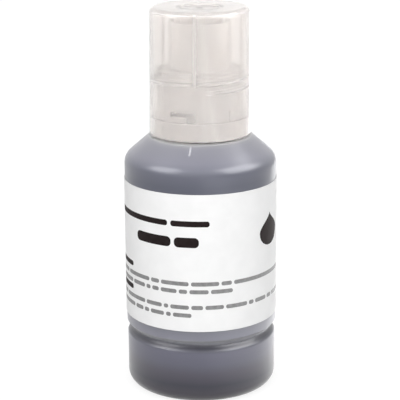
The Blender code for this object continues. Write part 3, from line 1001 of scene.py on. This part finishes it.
    def _index_rib(self) -> bpy.types.Object:
        """Build the short rounded rib that runs down the shoulder's slope.

        Returns:
            The rib, which reaches into the wall.
        """
        buried = self.wall / 2
        bm = block((self.rib_width, self.rib_length, buried + self.rib_stand_out))
        top = [edge for edge in bm.edges if all(vert.co.z > 0 for vert in edge.verts)]
        self._bevel(bm, top, self.rib_width)
        slope = self.shoulder_slope
        along = Vector((0.0, -math.cos(slope), -math.sin(slope)))
        outward = Vector((0.0, -math.sin(slope), math.cos(slope)))
        centre = Vector((0.0, -self.land_edge, self.land)) + along * (self.land_fillet + self.rib_length / 2)
        centre += outward * (self.rib_stand_out - buried) / 2
        tilt = Matrix.Translation(centre) @ Matrix.Rotation(slope, 4, "X")
        turn = Matrix.Rotation(math.radians(self.rib_bearing), 4, "Z")
        bmesh.ops.transform(bm, matrix=turn @ tilt, verts=bm.verts)
        return finished_object("index_rib", bm)

    @staticmethod
    def _bevel(bm: bmesh.types.BMesh, edges: Iterable[bmesh.types.BMEdge], width: float) -> None:
        """Round edges of a narrow bar by a share of its width."""
        geometry = list(edges)
        bmesh.ops.bevel(bm, geom=geometry, offset=width * BEVEL_SHARE, segments=BEVEL_FLATS, affect="EDGES")


@dataclass(frozen=True)
class BarRow:
    """A row of print as bars with round ends, one for each word.

    Attributes:
        below_top: Distance from the label's top edge to the bars' top.
        height: Height of the bars.
        words: Lengths of the bars.
        start: Arc from the label's middle to the row's start.
        gap: Distance between bars.
    """

    below_top: float
    height: float
    words: tuple[float, ...]
    start: float = -36.0 * MM
    gap: float = 0.75 * MM


@dataclass
class Label:
    """Paper label wrapped round the body, and the print on it."""

    seam: float = 4.8 * MM
    thickness: float = 0.12 * MM
    print_stand_out: float = 0.015 * MM
    print_bite: float = 0.01 * MM
    print_step: float = 0.8 * MM
    arc_step: float = 15.0
    bar_rounding: float = 0.42
    drop_arc: float = 26.4 * MM
    drop_below_top: float = 8.9 * MM
    drop_height: float = 10.5 * MM
    drop_radius: float = 4.5 * MM
    drop_spread: float = 1.26  # width of the drop against a round one
    drop_sweep: float = 1.6  # how far the drop's sides hollow in towards its point
    bold_rows: tuple[BarRow, ...] = (
        BarRow(8.3 * MM, 1.8 * MM, (25.4 * MM, 12.2 * MM), gap=1.1 * MM),
        BarRow(13.5 * MM, 3.2 * MM, (13.4 * MM, 7.8 * MM), start=-22.9 * MM, gap=1.1 * MM),
        BarRow(24.6 * MM, 1.6 * MM, (10.2 * MM,)),
        BarRow(32.2 * MM, 1.6 * MM, (10.0 * MM,)),
    )
    fine_rows: tuple[BarRow, ...] = (
        BarRow(27.7 * MM, 1.3 * MM, tuple(MM * w for w in (6.7, 11.0, 3.1, 9.1, 8.7, 3.4, 24.5))),
        BarRow(30.2 * MM, 1.3 * MM, tuple(MM * w for w in (9.8, 5.9, 1.7, 2.5, 5.4, 2.6, 5.9, 7.0))),
        BarRow(
            35.3 * MM,
            1.3 * MM,
            tuple(MM * w for w in (4.9, 10.8, 6.0, 1.5, 6.0, 3.6, 5.8, 7.4, 1.9, 5.3, 2.6, 8.0)),
        ),
        BarRow(37.9 * MM, 1.3 * MM, tuple(MM * w for w in (11.0, 3.8, 1.9, 5.0, 1.6, 5.9))),
    )
    bore: float = field(init=False)
    face: float = field(init=False)
    low: float = field(init=False)
    top: float = field(init=False)

    def __post_init__(self) -> None:
        """Read the label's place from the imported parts."""
        low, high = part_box("label")
        self.bore = high.x - self.thickness
        self.face = high.x - self.print_stand_out
        self.low = low.z
        self.top = high.z

    def build(self) -> None:
        """Build the paper and the print."""
        half_span = 180 - math.degrees(self.seam / 2 / self.bore)
        paper = sector("label_sheet", (self.bore, self.face), (self.low, self.top), (-half_span, half_span))
        dress(paper, LABEL_PAPER.material(), Body.BOTTLE, Slot.LABEL_PAPER, "label")
        bold = self._wrapped("label_print_bold", [self._drop(), *self._bars(self.bold_rows)])
        dress(bold, PRINT_BLACK.material(), Body.BOTTLE, Slot.LABEL_PAPER)
        fine = self._wrapped("label_print_fine", self._bars(self.fine_rows))
        dress(fine, PRINT_GREY.material(), Body.BOTTLE, Slot.LABEL_PAPER)

    def _wrapped(self, name: str, outlines: Iterable[list[tuple[float, float]]]) -> bpy.types.Object:
        """Lay outlines out flat, cut them into upright strips, thicken them and wrap them on the label.

        Args:
            name: Name of the object.
            outlines: Closed outlines as (arc, distance below the top edge).

        Returns:
            The print as thin closed patches that bite into the paper.
        """
        bm = bmesh.new()
        for outline in outlines:
            bm.faces.new([bm.verts.new((arc, 0.0, self.top - below)) for arc, below in outline])
        reach = math.ceil(math.pi * self.face / self.print_step)
        for number in range(-reach, reach + 1):
            geometry = [*bm.verts, *bm.edges, *bm.faces]
            line = (number * self.print_step, 0.0, 0.0)
            bmesh.ops.bisect_plane(bm, geom=geometry, dist=WELD, plane_co=line, plane_no=(1.0, 0.0, 0.0))
        front = bmesh.ops.extrude_face_region(bm, geom=list(bm.faces), use_keep_orig=True)
        for item in front["geom"]:
            if isinstance(item, bmesh.types.BMVert):
                item.co.y = self.print_bite + self.print_stand_out
        for vert in bm.verts:
            radius = self.face - self.print_bite + vert.co.y
            vert.co = on_bearing(radius, math.degrees(vert.co.x / self.face), vert.co.z)
        return finished_object(name, bm)

    def _bars(self, rows: Iterable[BarRow]) -> Iterable[list[tuple[float, float]]]:
        """Lay out the bars of some rows.

        Args:
            rows: The rows.

        Returns:
            Closed outlines as (arc, distance below the top edge).
        """
        for row in rows:
            arc = row.start
            for word in row.words:
                yield self._bar(arc, arc + word, row.below_top, row.below_top + row.height)
                arc += word + row.gap

    def _bar(self, left: float, right: float, top: float, low: float) -> list[tuple[float, float]]:
        """Draw a bar with round corners.

        Args:
            left: Arc at its left end.
            right: Arc at its right end.
            top: Distance of its upper side below the label's top edge.
            low: Distance of its lower side.

        Returns:
            Its closed outline.
        """
        rounding = min(low - top, right - left) * self.bar_rounding
        inner_left, inner_right = left + rounding, right - rounding
        inner_top, inner_low = top + rounding, low - rounding
        return [
            *self._arc((inner_right, inner_top), rounding, -90.0, 90.0),
            *self._arc((inner_right, inner_low), rounding, 0.0, 90.0),
            *self._arc((inner_left, inner_low), rounding, 90.0, 90.0),
            *self._arc((inner_left, inner_top), rounding, 180.0, 90.0),
        ]

    def _arc(
        self, centre: tuple[float, float], radius: float, start: float, span: float
    ) -> list[tuple[float, float]]:
        """Draw an arc.

        Args:
            centre: Its centre.
            radius: Its radius.
            start: Angle at its start, in degrees.
            span: Angle that it covers, in degrees.

        Returns:
            Points from its start to its end.
        """
        steps = math.ceil(span / self.arc_step)
        angles = [math.radians(start + span * step / steps) for step in range(steps + 1)]
        return [(centre[0] + radius * math.cos(a), centre[1] + radius * math.sin(a)) for a in angles]

    def _drop(self) -> list[tuple[float, float]]:
        """Draw a plain drop: a round belly with sides that sweep up to a point.

        Returns:
            Its closed outline.
        """
        radius = self.drop_radius
        belly = self.drop_below_top + self.drop_height - radius
        lift = belly - self.drop_below_top
        points = self._arc((0.0, belly), radius, 0.0, 180.0)
        steps = math.ceil(180 / self.arc_step)
        sides = [(math.cos(math.pi / 2 * step / steps), step / steps) for step in range(1, steps)]
        left = [(-radius * width ** self.drop_sweep, belly - lift * share) for width, share in sides]
        right = [(-x, y) for x, y in reversed(left)]
        drop = [*points, *left, (0.0, self.drop_below_top), *right]
        return [(self.drop_arc + self.drop_spread * x, y) for x, y in drop]


@dataclass
class SpoutCollar:
    """Keyed and threaded spout collar with its washer, valve and retainer."""

    bottle: Bottle
    thread: Thread = field(default_factory=Thread)
    skirt_bore: float = 12.0 * MM
    skirt_wall: float = 1.4 * MM
    height: float = 21.0 * MM
    deck_thickness: float = 1.5 * MM
    fillet: float = 0.4 * MM
    flange_stand_out: float = 0.8 * MM
    flange_height: float = 5.9 * MM
    spout_radius: float = 6.05 * MM
    tip_wall: float = 0.85 * MM
    seat_width: float = 0.6 * MM
    key_bore: float = 8.8 * MM
    key_wall: float = 1.0 * MM
    key_below_tip: float = 1.3 * MM
    washer_inside: float = 1.5 * MM  # how far the washer reaches in past the neck's bore
    ring_ease: float = 0.12 * MM
    notches: tuple[tuple[float, float, float], ...] = (
        (128.0, 26.0, 0.61),
        (196.0, 40.0, 0.44),
        (252.0, 14.0, 0.61),
    )
    window_bearings: tuple[float, float] = (-41.8, 138.2)
    bar_span: float = 36.3
    leg_span: float = 14.0
    pocket_span: float = 12.0
    track_ease: float = 0.8
    bar_height: float = 1.5 * MM
    leg_height: float = 1.6 * MM
    film: float = 0.45 * MM
    grip_bearings: tuple[float, float] = (42.5, 222.5)
    grip_span: float = 2.4
    grip_height: float = 3.4 * MM
    grip_stand_out: float = 0.4 * MM
    thread_depth: float = 0.85 * MM
    thread_below_deck: float = 0.85 * MM
    valve_depth: float = 8.4 * MM
    valve_flange: float = 1.5 * MM
    valve_wall: float = 0.9 * MM
    valve_side: float = 4.9 * MM
    valve_rise: float = 1.3 * MM
    valve_ease: float = 0.2 * MM
    slit_from_side: float = 1.4 * MM
    slit_width: float = 0.3 * MM
    retainer_wall: float = 1.0 * MM
    foot: float = field(init=False)
    tip: float = field(init=False)

    def __post_init__(self) -> None:
        """Read the collar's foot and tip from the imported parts."""
        low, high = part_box("spout_collar")
        self.foot = low.z
        self.tip = high.z

    @property
    def deck(self) -> float:
        """Height of the deck's top."""
        return self.foot + self.height

    @property
    def skirt(self) -> float:
        """Outer radius of the skirt."""
        return self.skirt_bore + self.skirt_wall

    @property
    def flange_top(self) -> float:
        """Height of the flange's top."""
        return self.foot + self.flange_height

    @property
    def pocket_radius(self) -> float:
        """Radius of the valve's pocket in the spout's tip."""
        return self.spout_radius - self.tip_wall

    @property
    def thread_low(self) -> float:
        """Height of the middle of the thread's lower end."""
        return self.deck - self.thread_below_deck - self.thread.pitch * self.thread.turns

    def build(self) -> None:
        """Build the collar, washer, valve and retainer."""
        milky = MILKY_COLLAR.material()
        collar = self._moulding()
        dress(collar, milky, Body.BOTTLE, Slot.COLLAR_PLASTIC, "spout_collar")
        dress(self._washer(), SEAL_FOAM.material(), Body.BOTTLE, Slot.SEAL_FOAM, "neck_seal")
        dress(self._valve(), GREY_SILICONE.material(), Body.BOTTLE, Slot.VALVE_RUBBER, "slit_valve")
        dress(self._retainer(), milky, Body.BOTTLE, Slot.COLLAR_PLASTIC, "valve_retainer")

    def _outline(self) -> list[Vector]:
        """Draw the collar: tip, key ring, deck, skirt and flange, then back up inside.

        Returns:
            Points of the closed outline.
        """
        key_top = self.tip - self.key_below_tip
        key_radius = self.key_bore + self.key_wall
        flange = self.skirt + self.flange_stand_out
        seat = self.tip - self.valve_depth
        bore = self.pocket_radius - self.seat_width
        tip_middle = (self.spout_radius + self.pocket_radius) / 2
        under = self.deck - self.deck_thickness
        fine = self.fillet / 2
        corners = [
            (tip_middle, self.tip, 0.0),
            (self.spout_radius, self.tip, self.fillet),
            (self.spout_radius, self.deck, self.fillet),
            (self.key_bore, self.deck, fine),
            (self.key_bore, key_top, fine),
            (key_radius, key_top, self.fillet),
            (key_radius, self.deck, self.fillet),
            (self.skirt, self.deck, self.fillet),
            (self.skirt, self.flange_top, fine),
            (flange, self.flange_top, self.fillet),
            (flange, self.foot, self.fillet),
            (self.skirt_bore, self.foot, fine),
            (self.skirt_bore, under, self.fillet),
            (bore, under, self.fillet),
            (bore, seat, fine / 2),
            (self.pocket_radius, seat, 0.0),
            (self.pocket_radius, self.tip, fine / 2),
            (tip_middle, self.tip, 0.0),
        ]
        return rounded(corners)[:-1]

    def _moulding(self) -> bpy.types.Object:
        """Turn the collar, join its thread and grip ribs, and cut its windows and notches.

        Returns:
            The collar in one piece.
        """
        collar = revolve("collar_moulding", self._outline(), even_bearings(SEGMENTS), closed=True)
        crest = self.skirt + self.thread_depth
        ridge = self.thread.ridge("collar_thread", self.skirt, crest, self.thread_low)
        shape_with(collar, ridge, Cut.JOIN)
        sink = self.thread.sink
        for number, bearing in enumerate(self.grip_bearings, 1):
            radii = (self.skirt - sink, self.skirt + self.grip_stand_out)
            heights = (self.flange_top - sink, self.flange_top + self.grip_height)
            span = (bearing - self.grip_span / 2, bearing + self.grip_span / 2)
            shape_with(collar, sector(f"grip_rib_{number}", radii, heights, span), Cut.JOIN)
        for cutter in self._track_blocks():
            shape_with(collar, cutter, Cut.REMOVE)
        key_top = self.tip - self.key_below_tip
        for number, (bearing, width, share) in enumerate(self.notches, 1):
            radii = (self.key_bore - SLIDE_GAP, self.key_bore + self.key_wall + SLIDE_GAP)
            heights = (key_top - share * (key_top - self.deck), key_top + SLIDE_GAP)
            span = (bearing - width / 2, bearing + width / 2)
            shape_with(collar, sector(f"key_notch_{number}", radii, heights, span), Cut.REMOVE)
        return collar

    def _track_blocks(self) -> Iterable[bpy.types.Object]:
        """Build the cutters of the two locking tracks.

        Returns:
            Bar, leg, way in and hidden pocket of each track.
        """
        through = self.skirt + self.flange_stand_out + SLIDE_GAP
        inside = self.skirt_bore - SLIDE_GAP
        track = self.skirt - self.film
        bar_low = self.flange_top + self.leg_height
        bar = (bar_low, bar_low + self.bar_height)
        ease = self.track_ease
        way_in = (self.foot - SLIDE_GAP, bar_low + 2 * SLIDE_GAP)
        for number, start in enumerate(self.window_bearings, 1):
            leg = start + self.bar_span - self.leg_span
            leg_end = leg + self.leg_span
            blocks = (
                ("bar", through, bar, (start, start + self.bar_span)),
                ("leg", through, (self.flange_top, bar_low + SLIDE_GAP), (leg, leg_end - ease)),
                ("way_in", track, way_in, (leg + ease, leg_end - ease)),
                ("pocket", track, bar, (start - self.pocket_span, start + ease)),
            )
            for role, outer, heights, span in blocks:
                yield sector(f"lock_{number}_{role}", (inside, outer), heights, span)

    def _washer(self) -> bpy.types.Object:
        """Build the flat washer on the neck's rim.

        Returns:
            The washer.
        """
        low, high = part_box("neck_seal")
        bore = self.bottle.neck_radius - self.bottle.neck_wall - self.washer_inside
        return self._ring("neck_washer", bore, high.x, low.z, high.z)

    def _retainer(self) -> bpy.types.Object:
        """Ring that holds the valve down."""
        low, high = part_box("valve_retainer")
        return self._ring("retainer_ring", high.x - self.retainer_wall, high.x, low.z, high.z)

    def _ring(self, name: str, inner: float, outer: float, low: float, high: float) -> bpy.types.Object:
        """Turn a ring of rectangular section with eased edges.

        Args:
            name: Name of the object.
            inner: Inner radius.
            outer: Outer radius.
            low: Height of its lower face.
            high: Height of its upper face.

        Returns:
            The ring.
        """
        ease = self.ring_ease
        middle = (inner + outer) / 2
        corners = [
            (middle, high, 0.0),
            (outer, high, ease),
            (outer, low, ease),
            (inner, low, ease),
            (inner, high, ease),
            (middle, high, 0.0),
        ]
        return revolve(name, rounded(corners)[:-1], even_bearings(SEGMENTS), closed=True)

    def _valve(self) -> bpy.types.Object:
        """Build the soft flanged cup whose domed top is slit.

        Returns:
            The valve.
        """
        low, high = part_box("slit_valve")
        flange_top = low.z + self.valve_flange
        shoulder = low.z + self.valve_side
        outer = high.x - self.retainer_wall - SLIDE_GAP
        inner = outer - self.valve_wall
        ease = self.valve_ease
        corners = [
            (0.0, shoulder + self.valve_rise, 0.0),
            (outer, shoulder, self.valve_wall),
            (outer, flange_top, ease),
            (high.x, flange_top, ease),
            (high.x, low.z, ease),
            (inner, low.z, ease),
            (inner, shoulder - self.valve_wall, ease),
            (0.0, shoulder + self.valve_rise - self.valve_wall, 0.0),
        ]
        valve = revolve("valve_cup", rounded(corners), even_bearings(FEW_SEGMENTS))
        slit = block((2 * (outer - self.slit_from_side), self.slit_width, 4 * self.valve_rise))
        bmesh.ops.translate(slit, vec=(0.0, 0.0, shoulder + self.valve_rise / 2), verts=slit.verts)
        shape_with(valve, finished_object("valve_slit", slit), Cut.REMOVE)
        return valve


@dataclass
class Cap:
    """Frosted screw cap and its liner."""

    collar: SpoutCollar
    wall: float = 0.95 * MM
    taper: float = 0.4 * MM
    ceiling_thickness: float = 1.2 * MM
    edge_fillet: float = 1.64 * MM
    inner_fillet: float = 0.8 * MM
    rim_fillet: float = 0.25 * MM
    thread_clearance: float = 0.33 * MM
    lip_thickening: float = 0.35 * MM
    lip_above_flange: float = 0.1 * MM
    dish_radius: float = 6.2 * MM
    dish_depth: float = 0.5 * MM
    dish_fillet: float = 0.25 * MM
    gate_radius: float = 0.9 * MM
    gate_height: float = 0.3 * MM
    plug_wall: float = 1.0 * MM
    plug_length: float = 4.0 * MM
    rib_bearings: tuple[float, ...] = (-6.3, 113.7, 233.7)
    rib_width: float = 0.9 * MM
    rib_stand_in: float = 0.2 * MM
    rib_below_deck: float = 3.6 * MM
    liner_ease: float = 0.15 * MM
    mouth: float = field(init=False)
    top: float = field(init=False)
    mouth_radius: float = field(init=False)

    def __post_init__(self) -> None:
        """Read the cap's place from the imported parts."""
        low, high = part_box("cap_shell")
        self.mouth = low.z
        self.top = high.z
        lip_bore = self.collar.skirt + self.collar.thread_depth + self.thread_clearance
        self.mouth_radius = lip_bore + self.lip_thickening + self.wall

    def outer_radius(self, height: float) -> float:
        """Radius of the tapered side at a height."""
        return self.mouth_radius - self.taper * (height - self.mouth) / (self.top - self.mouth)

    def build(self) -> None:
        """Build the cap, its ribs and its liner."""
        dress(self._moulding(), FROSTED_CAP.material(), Body.CAP, Slot.CAP_PLASTIC, "cap_shell")
        dress(self._ribs(), CAP_RIB_MILK.material(), Body.CAP, Slot.CAP_PLASTIC)
        low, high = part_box("cap_liner")
        corners = [
            (0.0, high.z, 0.0),
            (high.x, high.z, self.liner_ease),
            (high.x, low.z, self.liner_ease),
            (0.0, low.z, 0.0),
        ]
        liner = revolve("liner_disc", rounded(corners), even_bearings(FEW_SEGMENTS))
        dress(liner, STAINED_FOAM.material(), Body.LINER, Slot.SEAL_FOAM, "cap_liner")

    def _moulding(self) -> bpy.types.Object:
        """Turn the cap, from the middle of its top down its side and back up inside.

        Returns:
            The cap with its thread, without its inner ribs.
        """
        collar = self.collar
        dish = self.top - self.dish_depth
        ceiling = self.top - self.ceiling_thickness
        lip_bore = self.mouth_radius - self.wall - self.lip_thickening
        lip_top = collar.flange_top + self.lip_above_flange
        step_top = lip_top + self.lip_thickening
        plug_bore = collar.spout_radius + SLIDE_GAP
        plug = plug_bore + self.plug_wall
        plug_low = ceiling - self.plug_length
        fine = self.dish_fillet
        corners = [
            (0.0, dish + self.gate_height, 0.0),
            (self.gate_radius, dish + self.gate_height, fine / 2),
            (self.gate_radius + self.gate_height, dish, fine / 2),
            (self.dish_radius - self.dish_depth, dish, fine),
            (self.dish_radius, self.top, fine),
            (self.outer_radius(self.top), self.top, self.edge_fillet),
            (self.outer_radius(self.mouth), self.mouth, self.rim_fillet),
            (lip_bore, self.mouth, self.rim_fillet),
            (lip_bore, lip_top, fine),
            (self.outer_radius(step_top) - self.wall, step_top, fine),
            (self.outer_radius(ceiling) - self.wall, ceiling, self.inner_fillet),
            (plug, ceiling, fine),
            (plug, plug_low, self.rim_fillet),
            (plug_bore, plug_low, self.rim_fillet),
            (plug_bore, ceiling, fine),
            (0.0, ceiling, 0.0),
        ]
        cap = revolve("cap_moulding", rounded(corners), even_bearings(SEGMENTS))
        thread = collar.thread
        low = collar.thread_low - (thread.root_width + thread.crest_width) / 2 - SEAT_GAP
        wall = self.outer_radius(low) - self.wall
        ridge = thread.ridge("cap_thread", wall, collar.skirt + SLIDE_GAP, low)
        shape_with(cap, ridge, Cut.JOIN)
        return cap

    def _ribs(self) -> bpy.types.Object:
        """Build the shallow upright ribs inside the wall.

        Returns:
            The ribs as one piece.
        """
        ribs, *others = [self._rib(bearing) for bearing in self.rib_bearings]
        for other in others:
            shape_with(ribs, other, Cut.JOIN)
        return ribs

    def _rib(self, bearing: float) -> bpy.types.Object:
        """Build a rib that follows the wall's taper up into the ceiling.

        Args:
            bearing: Bearing of its middle.

        Returns:
            The rib, which reaches into the wall.
        """
        low = self.collar.deck - self.rib_below_deck
        high = self.top - self.ceiling_thickness + self.rib_stand_in
        inside = self.outer_radius(low) - self.wall
        half_span = math.degrees(self.rib_width / 2 / self.mouth_radius)
        return sector(
            "cap_ribs",
            (inside - self.rib_stand_in, inside + self.wall / 2),
            (low, high),
            (bearing - half_span, bearing + half_span),
            lean=self.outer_radius(low) - self.outer_radius(high),
        )


@dataclass(frozen=True)
class Softbox:
    """Rectangular lamp that faces the object.

    Attributes:
        name: Name of the lamp.
        bearing: Bearing that it shines from.
        elevation: Elevation that it shines from, in degrees.
        distance: Distance from the object's middle.
        width: Width.
        height: Height.
        radiance: Brightness of its face, where white is 1.
        in_gloss: Whether glossy surfaces mirror it.
        in_diffuse: Whether it lights matt surfaces.
    """

    name: str
    bearing: float
    elevation: float
    distance: float
    width: float
    height: float
    radiance: float
    in_gloss: bool = True
    in_diffuse: bool = True


@dataclass
class Studio:
    """Floor, light and camera."""

    floor_size: float = 4.0
    floor_cells: int = 8
    floor_tone: float = 0.22
    floor_glow: float = 0.82
    side_glow: float = 3.6  # the most that the floor on the right adds in reflections
    side_span: float = 0.3
    side_shares: tuple[tuple[float, float], ...] = (  # share of that glow at a distance to the right
        (0.005, 0.0),
        (0.065, 0.5),
        (0.115, 0.1),
        (0.175, 1.0),
        (0.235, 0.0),
    )
    sky_light: float = 0.90
    sky_lean: float = 0.1  # how much brighter the sky is on the right, and dimmer on the left
    aim: float = 0.055
    lamps: tuple[Softbox, ...] = (
        Softbox(
            name="left_softbox",
            bearing=-64.0,
            elevation=39.0,
            distance=0.6,
            width=0.42,
            height=0.38,
            radiance=6.2,
            in_diffuse=False,
        ),
        Softbox(
            name="right_softbox",
            bearing=72.0,
            elevation=39.0,
            distance=0.6,
            width=0.62,
            height=0.44,
            radiance=7.2,
            in_diffuse=False,
        ),
        Softbox(
            name="front_fill",
            bearing=-6.0,
            elevation=30.0,
            distance=0.8,
            width=1.0,
            height=0.8,
            radiance=1.8,
            in_gloss=False,
        ),
    )
    camera_side: float = -0.18 * MM
    camera_back: float = 0.4731
    camera_height: float = 0.1903
    camera_pitch: float = math.radians(15.4)
    camera_roll: float = math.radians(-0.333)
    lens: float = 138.95
    sensor: float = 36.0
    near_clip: float = 0.01

    def build(self) -> None:
        """Set up everything that is not part of the object."""
        self._floor()
        self._world()
        for lamp in self.lamps:
            self._softbox(lamp)
        self._camera()
        bpy.context.scene.view_settings.view_transform = "Standard"

    @staticmethod
    def _seen_as_background(tree: bpy.types.NodeTree) -> bpy.types.NodeSocket:
        """Tell the rays that see the background from those that light the object.

        Args:
            tree: Node tree of the floor or the world.

        Returns:
            A socket that is 1 for camera, glossy and transmission rays, and 0 for the rest.
        """
        path = tree.nodes.new("ShaderNodeLightPath")
        total = path.outputs["Is Camera Ray"]
        for name in ("Is Glossy Ray", "Is Transmission Ray"):
            total = calculated(tree, Arithmetic.GREATER_OF, total, path.outputs[name])
        return total

    def _floor(self) -> None:
        """Pale floor that reads as white and keeps the object's shadow."""
        bm = bmesh.new()
        cells = self.floor_cells
        bmesh.ops.create_grid(bm, x_segments=cells, y_segments=cells, size=self.floor_size / 2)
        floor = finished_object("floor", bm)
        material = bpy.data.materials.new("pale_floor")
        material.use_nodes = True
        tree = material.node_tree
        tree.nodes.remove(tree.nodes["Principled BSDF"])
        matte = tree.nodes.new("ShaderNodeBsdfDiffuse")
        matte.inputs["Color"].default_value = (self.floor_tone, self.floor_tone, self.floor_tone, 1.0)
        glow = tree.nodes.new("ShaderNodeEmission")
        seen, extra = self._seen_as_background(tree), self._side_glow(tree)
        level = calculated(tree, Arithmetic.TIMES_PLUS, seen, self.floor_glow, extra)
        total = tree.nodes.new("ShaderNodeAddShader")
        tree.links.new(level, glow.inputs["Strength"])
        tree.links.new(matte.outputs["BSDF"], total.inputs[0])
        tree.links.new(glow.outputs["Emission"], total.inputs[1])
        tree.links.new(total.outputs["Shader"], tree.nodes["Material Output"].inputs["Surface"])
        floor.data.materials.append(material)

    def _side_glow(self, tree: bpy.types.NodeTree) -> bpy.types.NodeSocket:
        """Let two strips of the floor on the right glow in reflections.

        Args:
            tree: Node tree of the floor.

        Returns:
            A socket with the extra glow, which is 0 for all but purely glossy rays.
        """
        place = tree.nodes.new("ShaderNodeTexCoord")
        parts = tree.nodes.new("ShaderNodeSeparateXYZ")
        tree.links.new(place.outputs["Object"], parts.inputs["Vector"])
        distance = remapped(tree, parts.outputs["X"], (0.0, self.side_span))
        ramp = tree.nodes.new("ShaderNodeValToRGB")
        tree.links.new(distance, ramp.inputs["Fac"])
        stops = ramp.color_ramp.elements
        stops[0].color = stops[1].color = (0.0, 0.0, 0.0, 1.0)
        for reach, share in self.side_shares:
            stops.new(reach / self.side_span).color = (share, share, share, 1.0)
        level = calculated(tree, Arithmetic.TIMES, ramp.outputs["Color"], self.side_glow)
        path = tree.nodes.new("ShaderNodeLightPath")
        rays = (path.outputs["Is Glossy Ray"], path.outputs["Is Transmission Ray"])
        mirrored = calculated(tree, Arithmetic.MINUS, *rays, clamp=True)
        return calculated(tree, Arithmetic.TIMES, level, mirrored)

    def _world(self) -> None:
        """White surroundings, at a lower level and brighter on the right where they light the object."""
        world = bpy.data.worlds.new("studio")
        bpy.context.scene.world = world
        world.use_nodes = True
        tree = world.node_tree
        background = tree.nodes["Background"]
        background.inputs["Color"].default_value = (1.0, 1.0, 1.0, 1.0)
        place = tree.nodes.new("ShaderNodeTexCoord")
        parts = tree.nodes.new("ShaderNodeSeparateXYZ")
        tree.links.new(place.outputs["Generated"], parts.inputs["Vector"])
        sky = calculated(tree, Arithmetic.TIMES_PLUS, parts.outputs["X"], self.sky_lean, self.sky_light)
        level = remapped(tree, self._seen_as_background(tree), (0.0, 1.0), (sky, 1.0))
        tree.links.new(level, background.inputs["Strength"])

    def _softbox(self, softbox: Softbox) -> None:
        """Hang one lamp.

        Args:
            softbox: Its place, size and brightness.
        """
        lamp = bpy.data.lights.new(softbox.name, "AREA")
        lamp.shape = "RECTANGLE"
        lamp.size = softbox.width
        lamp.size_y = softbox.height
        lamp.energy = softbox.radiance * math.pi * softbox.width * softbox.height
        obj = bpy.data.objects.new(softbox.name, lamp)
        obj.visible_glossy = softbox.in_gloss
        obj.visible_diffuse = softbox.in_diffuse
        bpy.context.scene.collection.objects.link(obj)
        elevation = math.radians(softbox.elevation)
        direction = on_bearing(math.cos(elevation), softbox.bearing, math.sin(elevation))
        obj.location = Vector((0.0, 0.0, self.aim)) + direction * softbox.distance
        obj.rotation_euler = direction.to_track_quat("Z", "Y").to_euler()

    def _camera(self) -> None:
        """Camera at the photograph's angle and distance."""
        data = bpy.data.cameras.new("camera")
        data.lens = self.lens
        data.sensor_width = self.sensor
        data.clip_start = self.near_clip
        camera = bpy.data.objects.new("camera", data)
        bpy.context.scene.collection.objects.link(camera)
        camera.location = (self.camera_side, -self.camera_back, self.camera_height)
        pitch = Matrix.Rotation(math.pi / 2 - self.camera_pitch, 3, "X")
        roll = Matrix.Rotation(self.camera_roll, 3, "Z")
        camera.rotation_euler = (pitch @ roll).to_euler()
        bpy.context.scene.camera = camera


def main() -> None:
    """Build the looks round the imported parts."""
    logging.basicConfig(level=logging.INFO, format="%(name)s: %(message)s")
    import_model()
    bottle = Bottle()
    bottle.build()
    Label().build()
    collar = SpoutCollar(bottle)
    collar.build()
    Cap(collar).build()
    Studio().build()


if __name__ == "__main__":
    main()
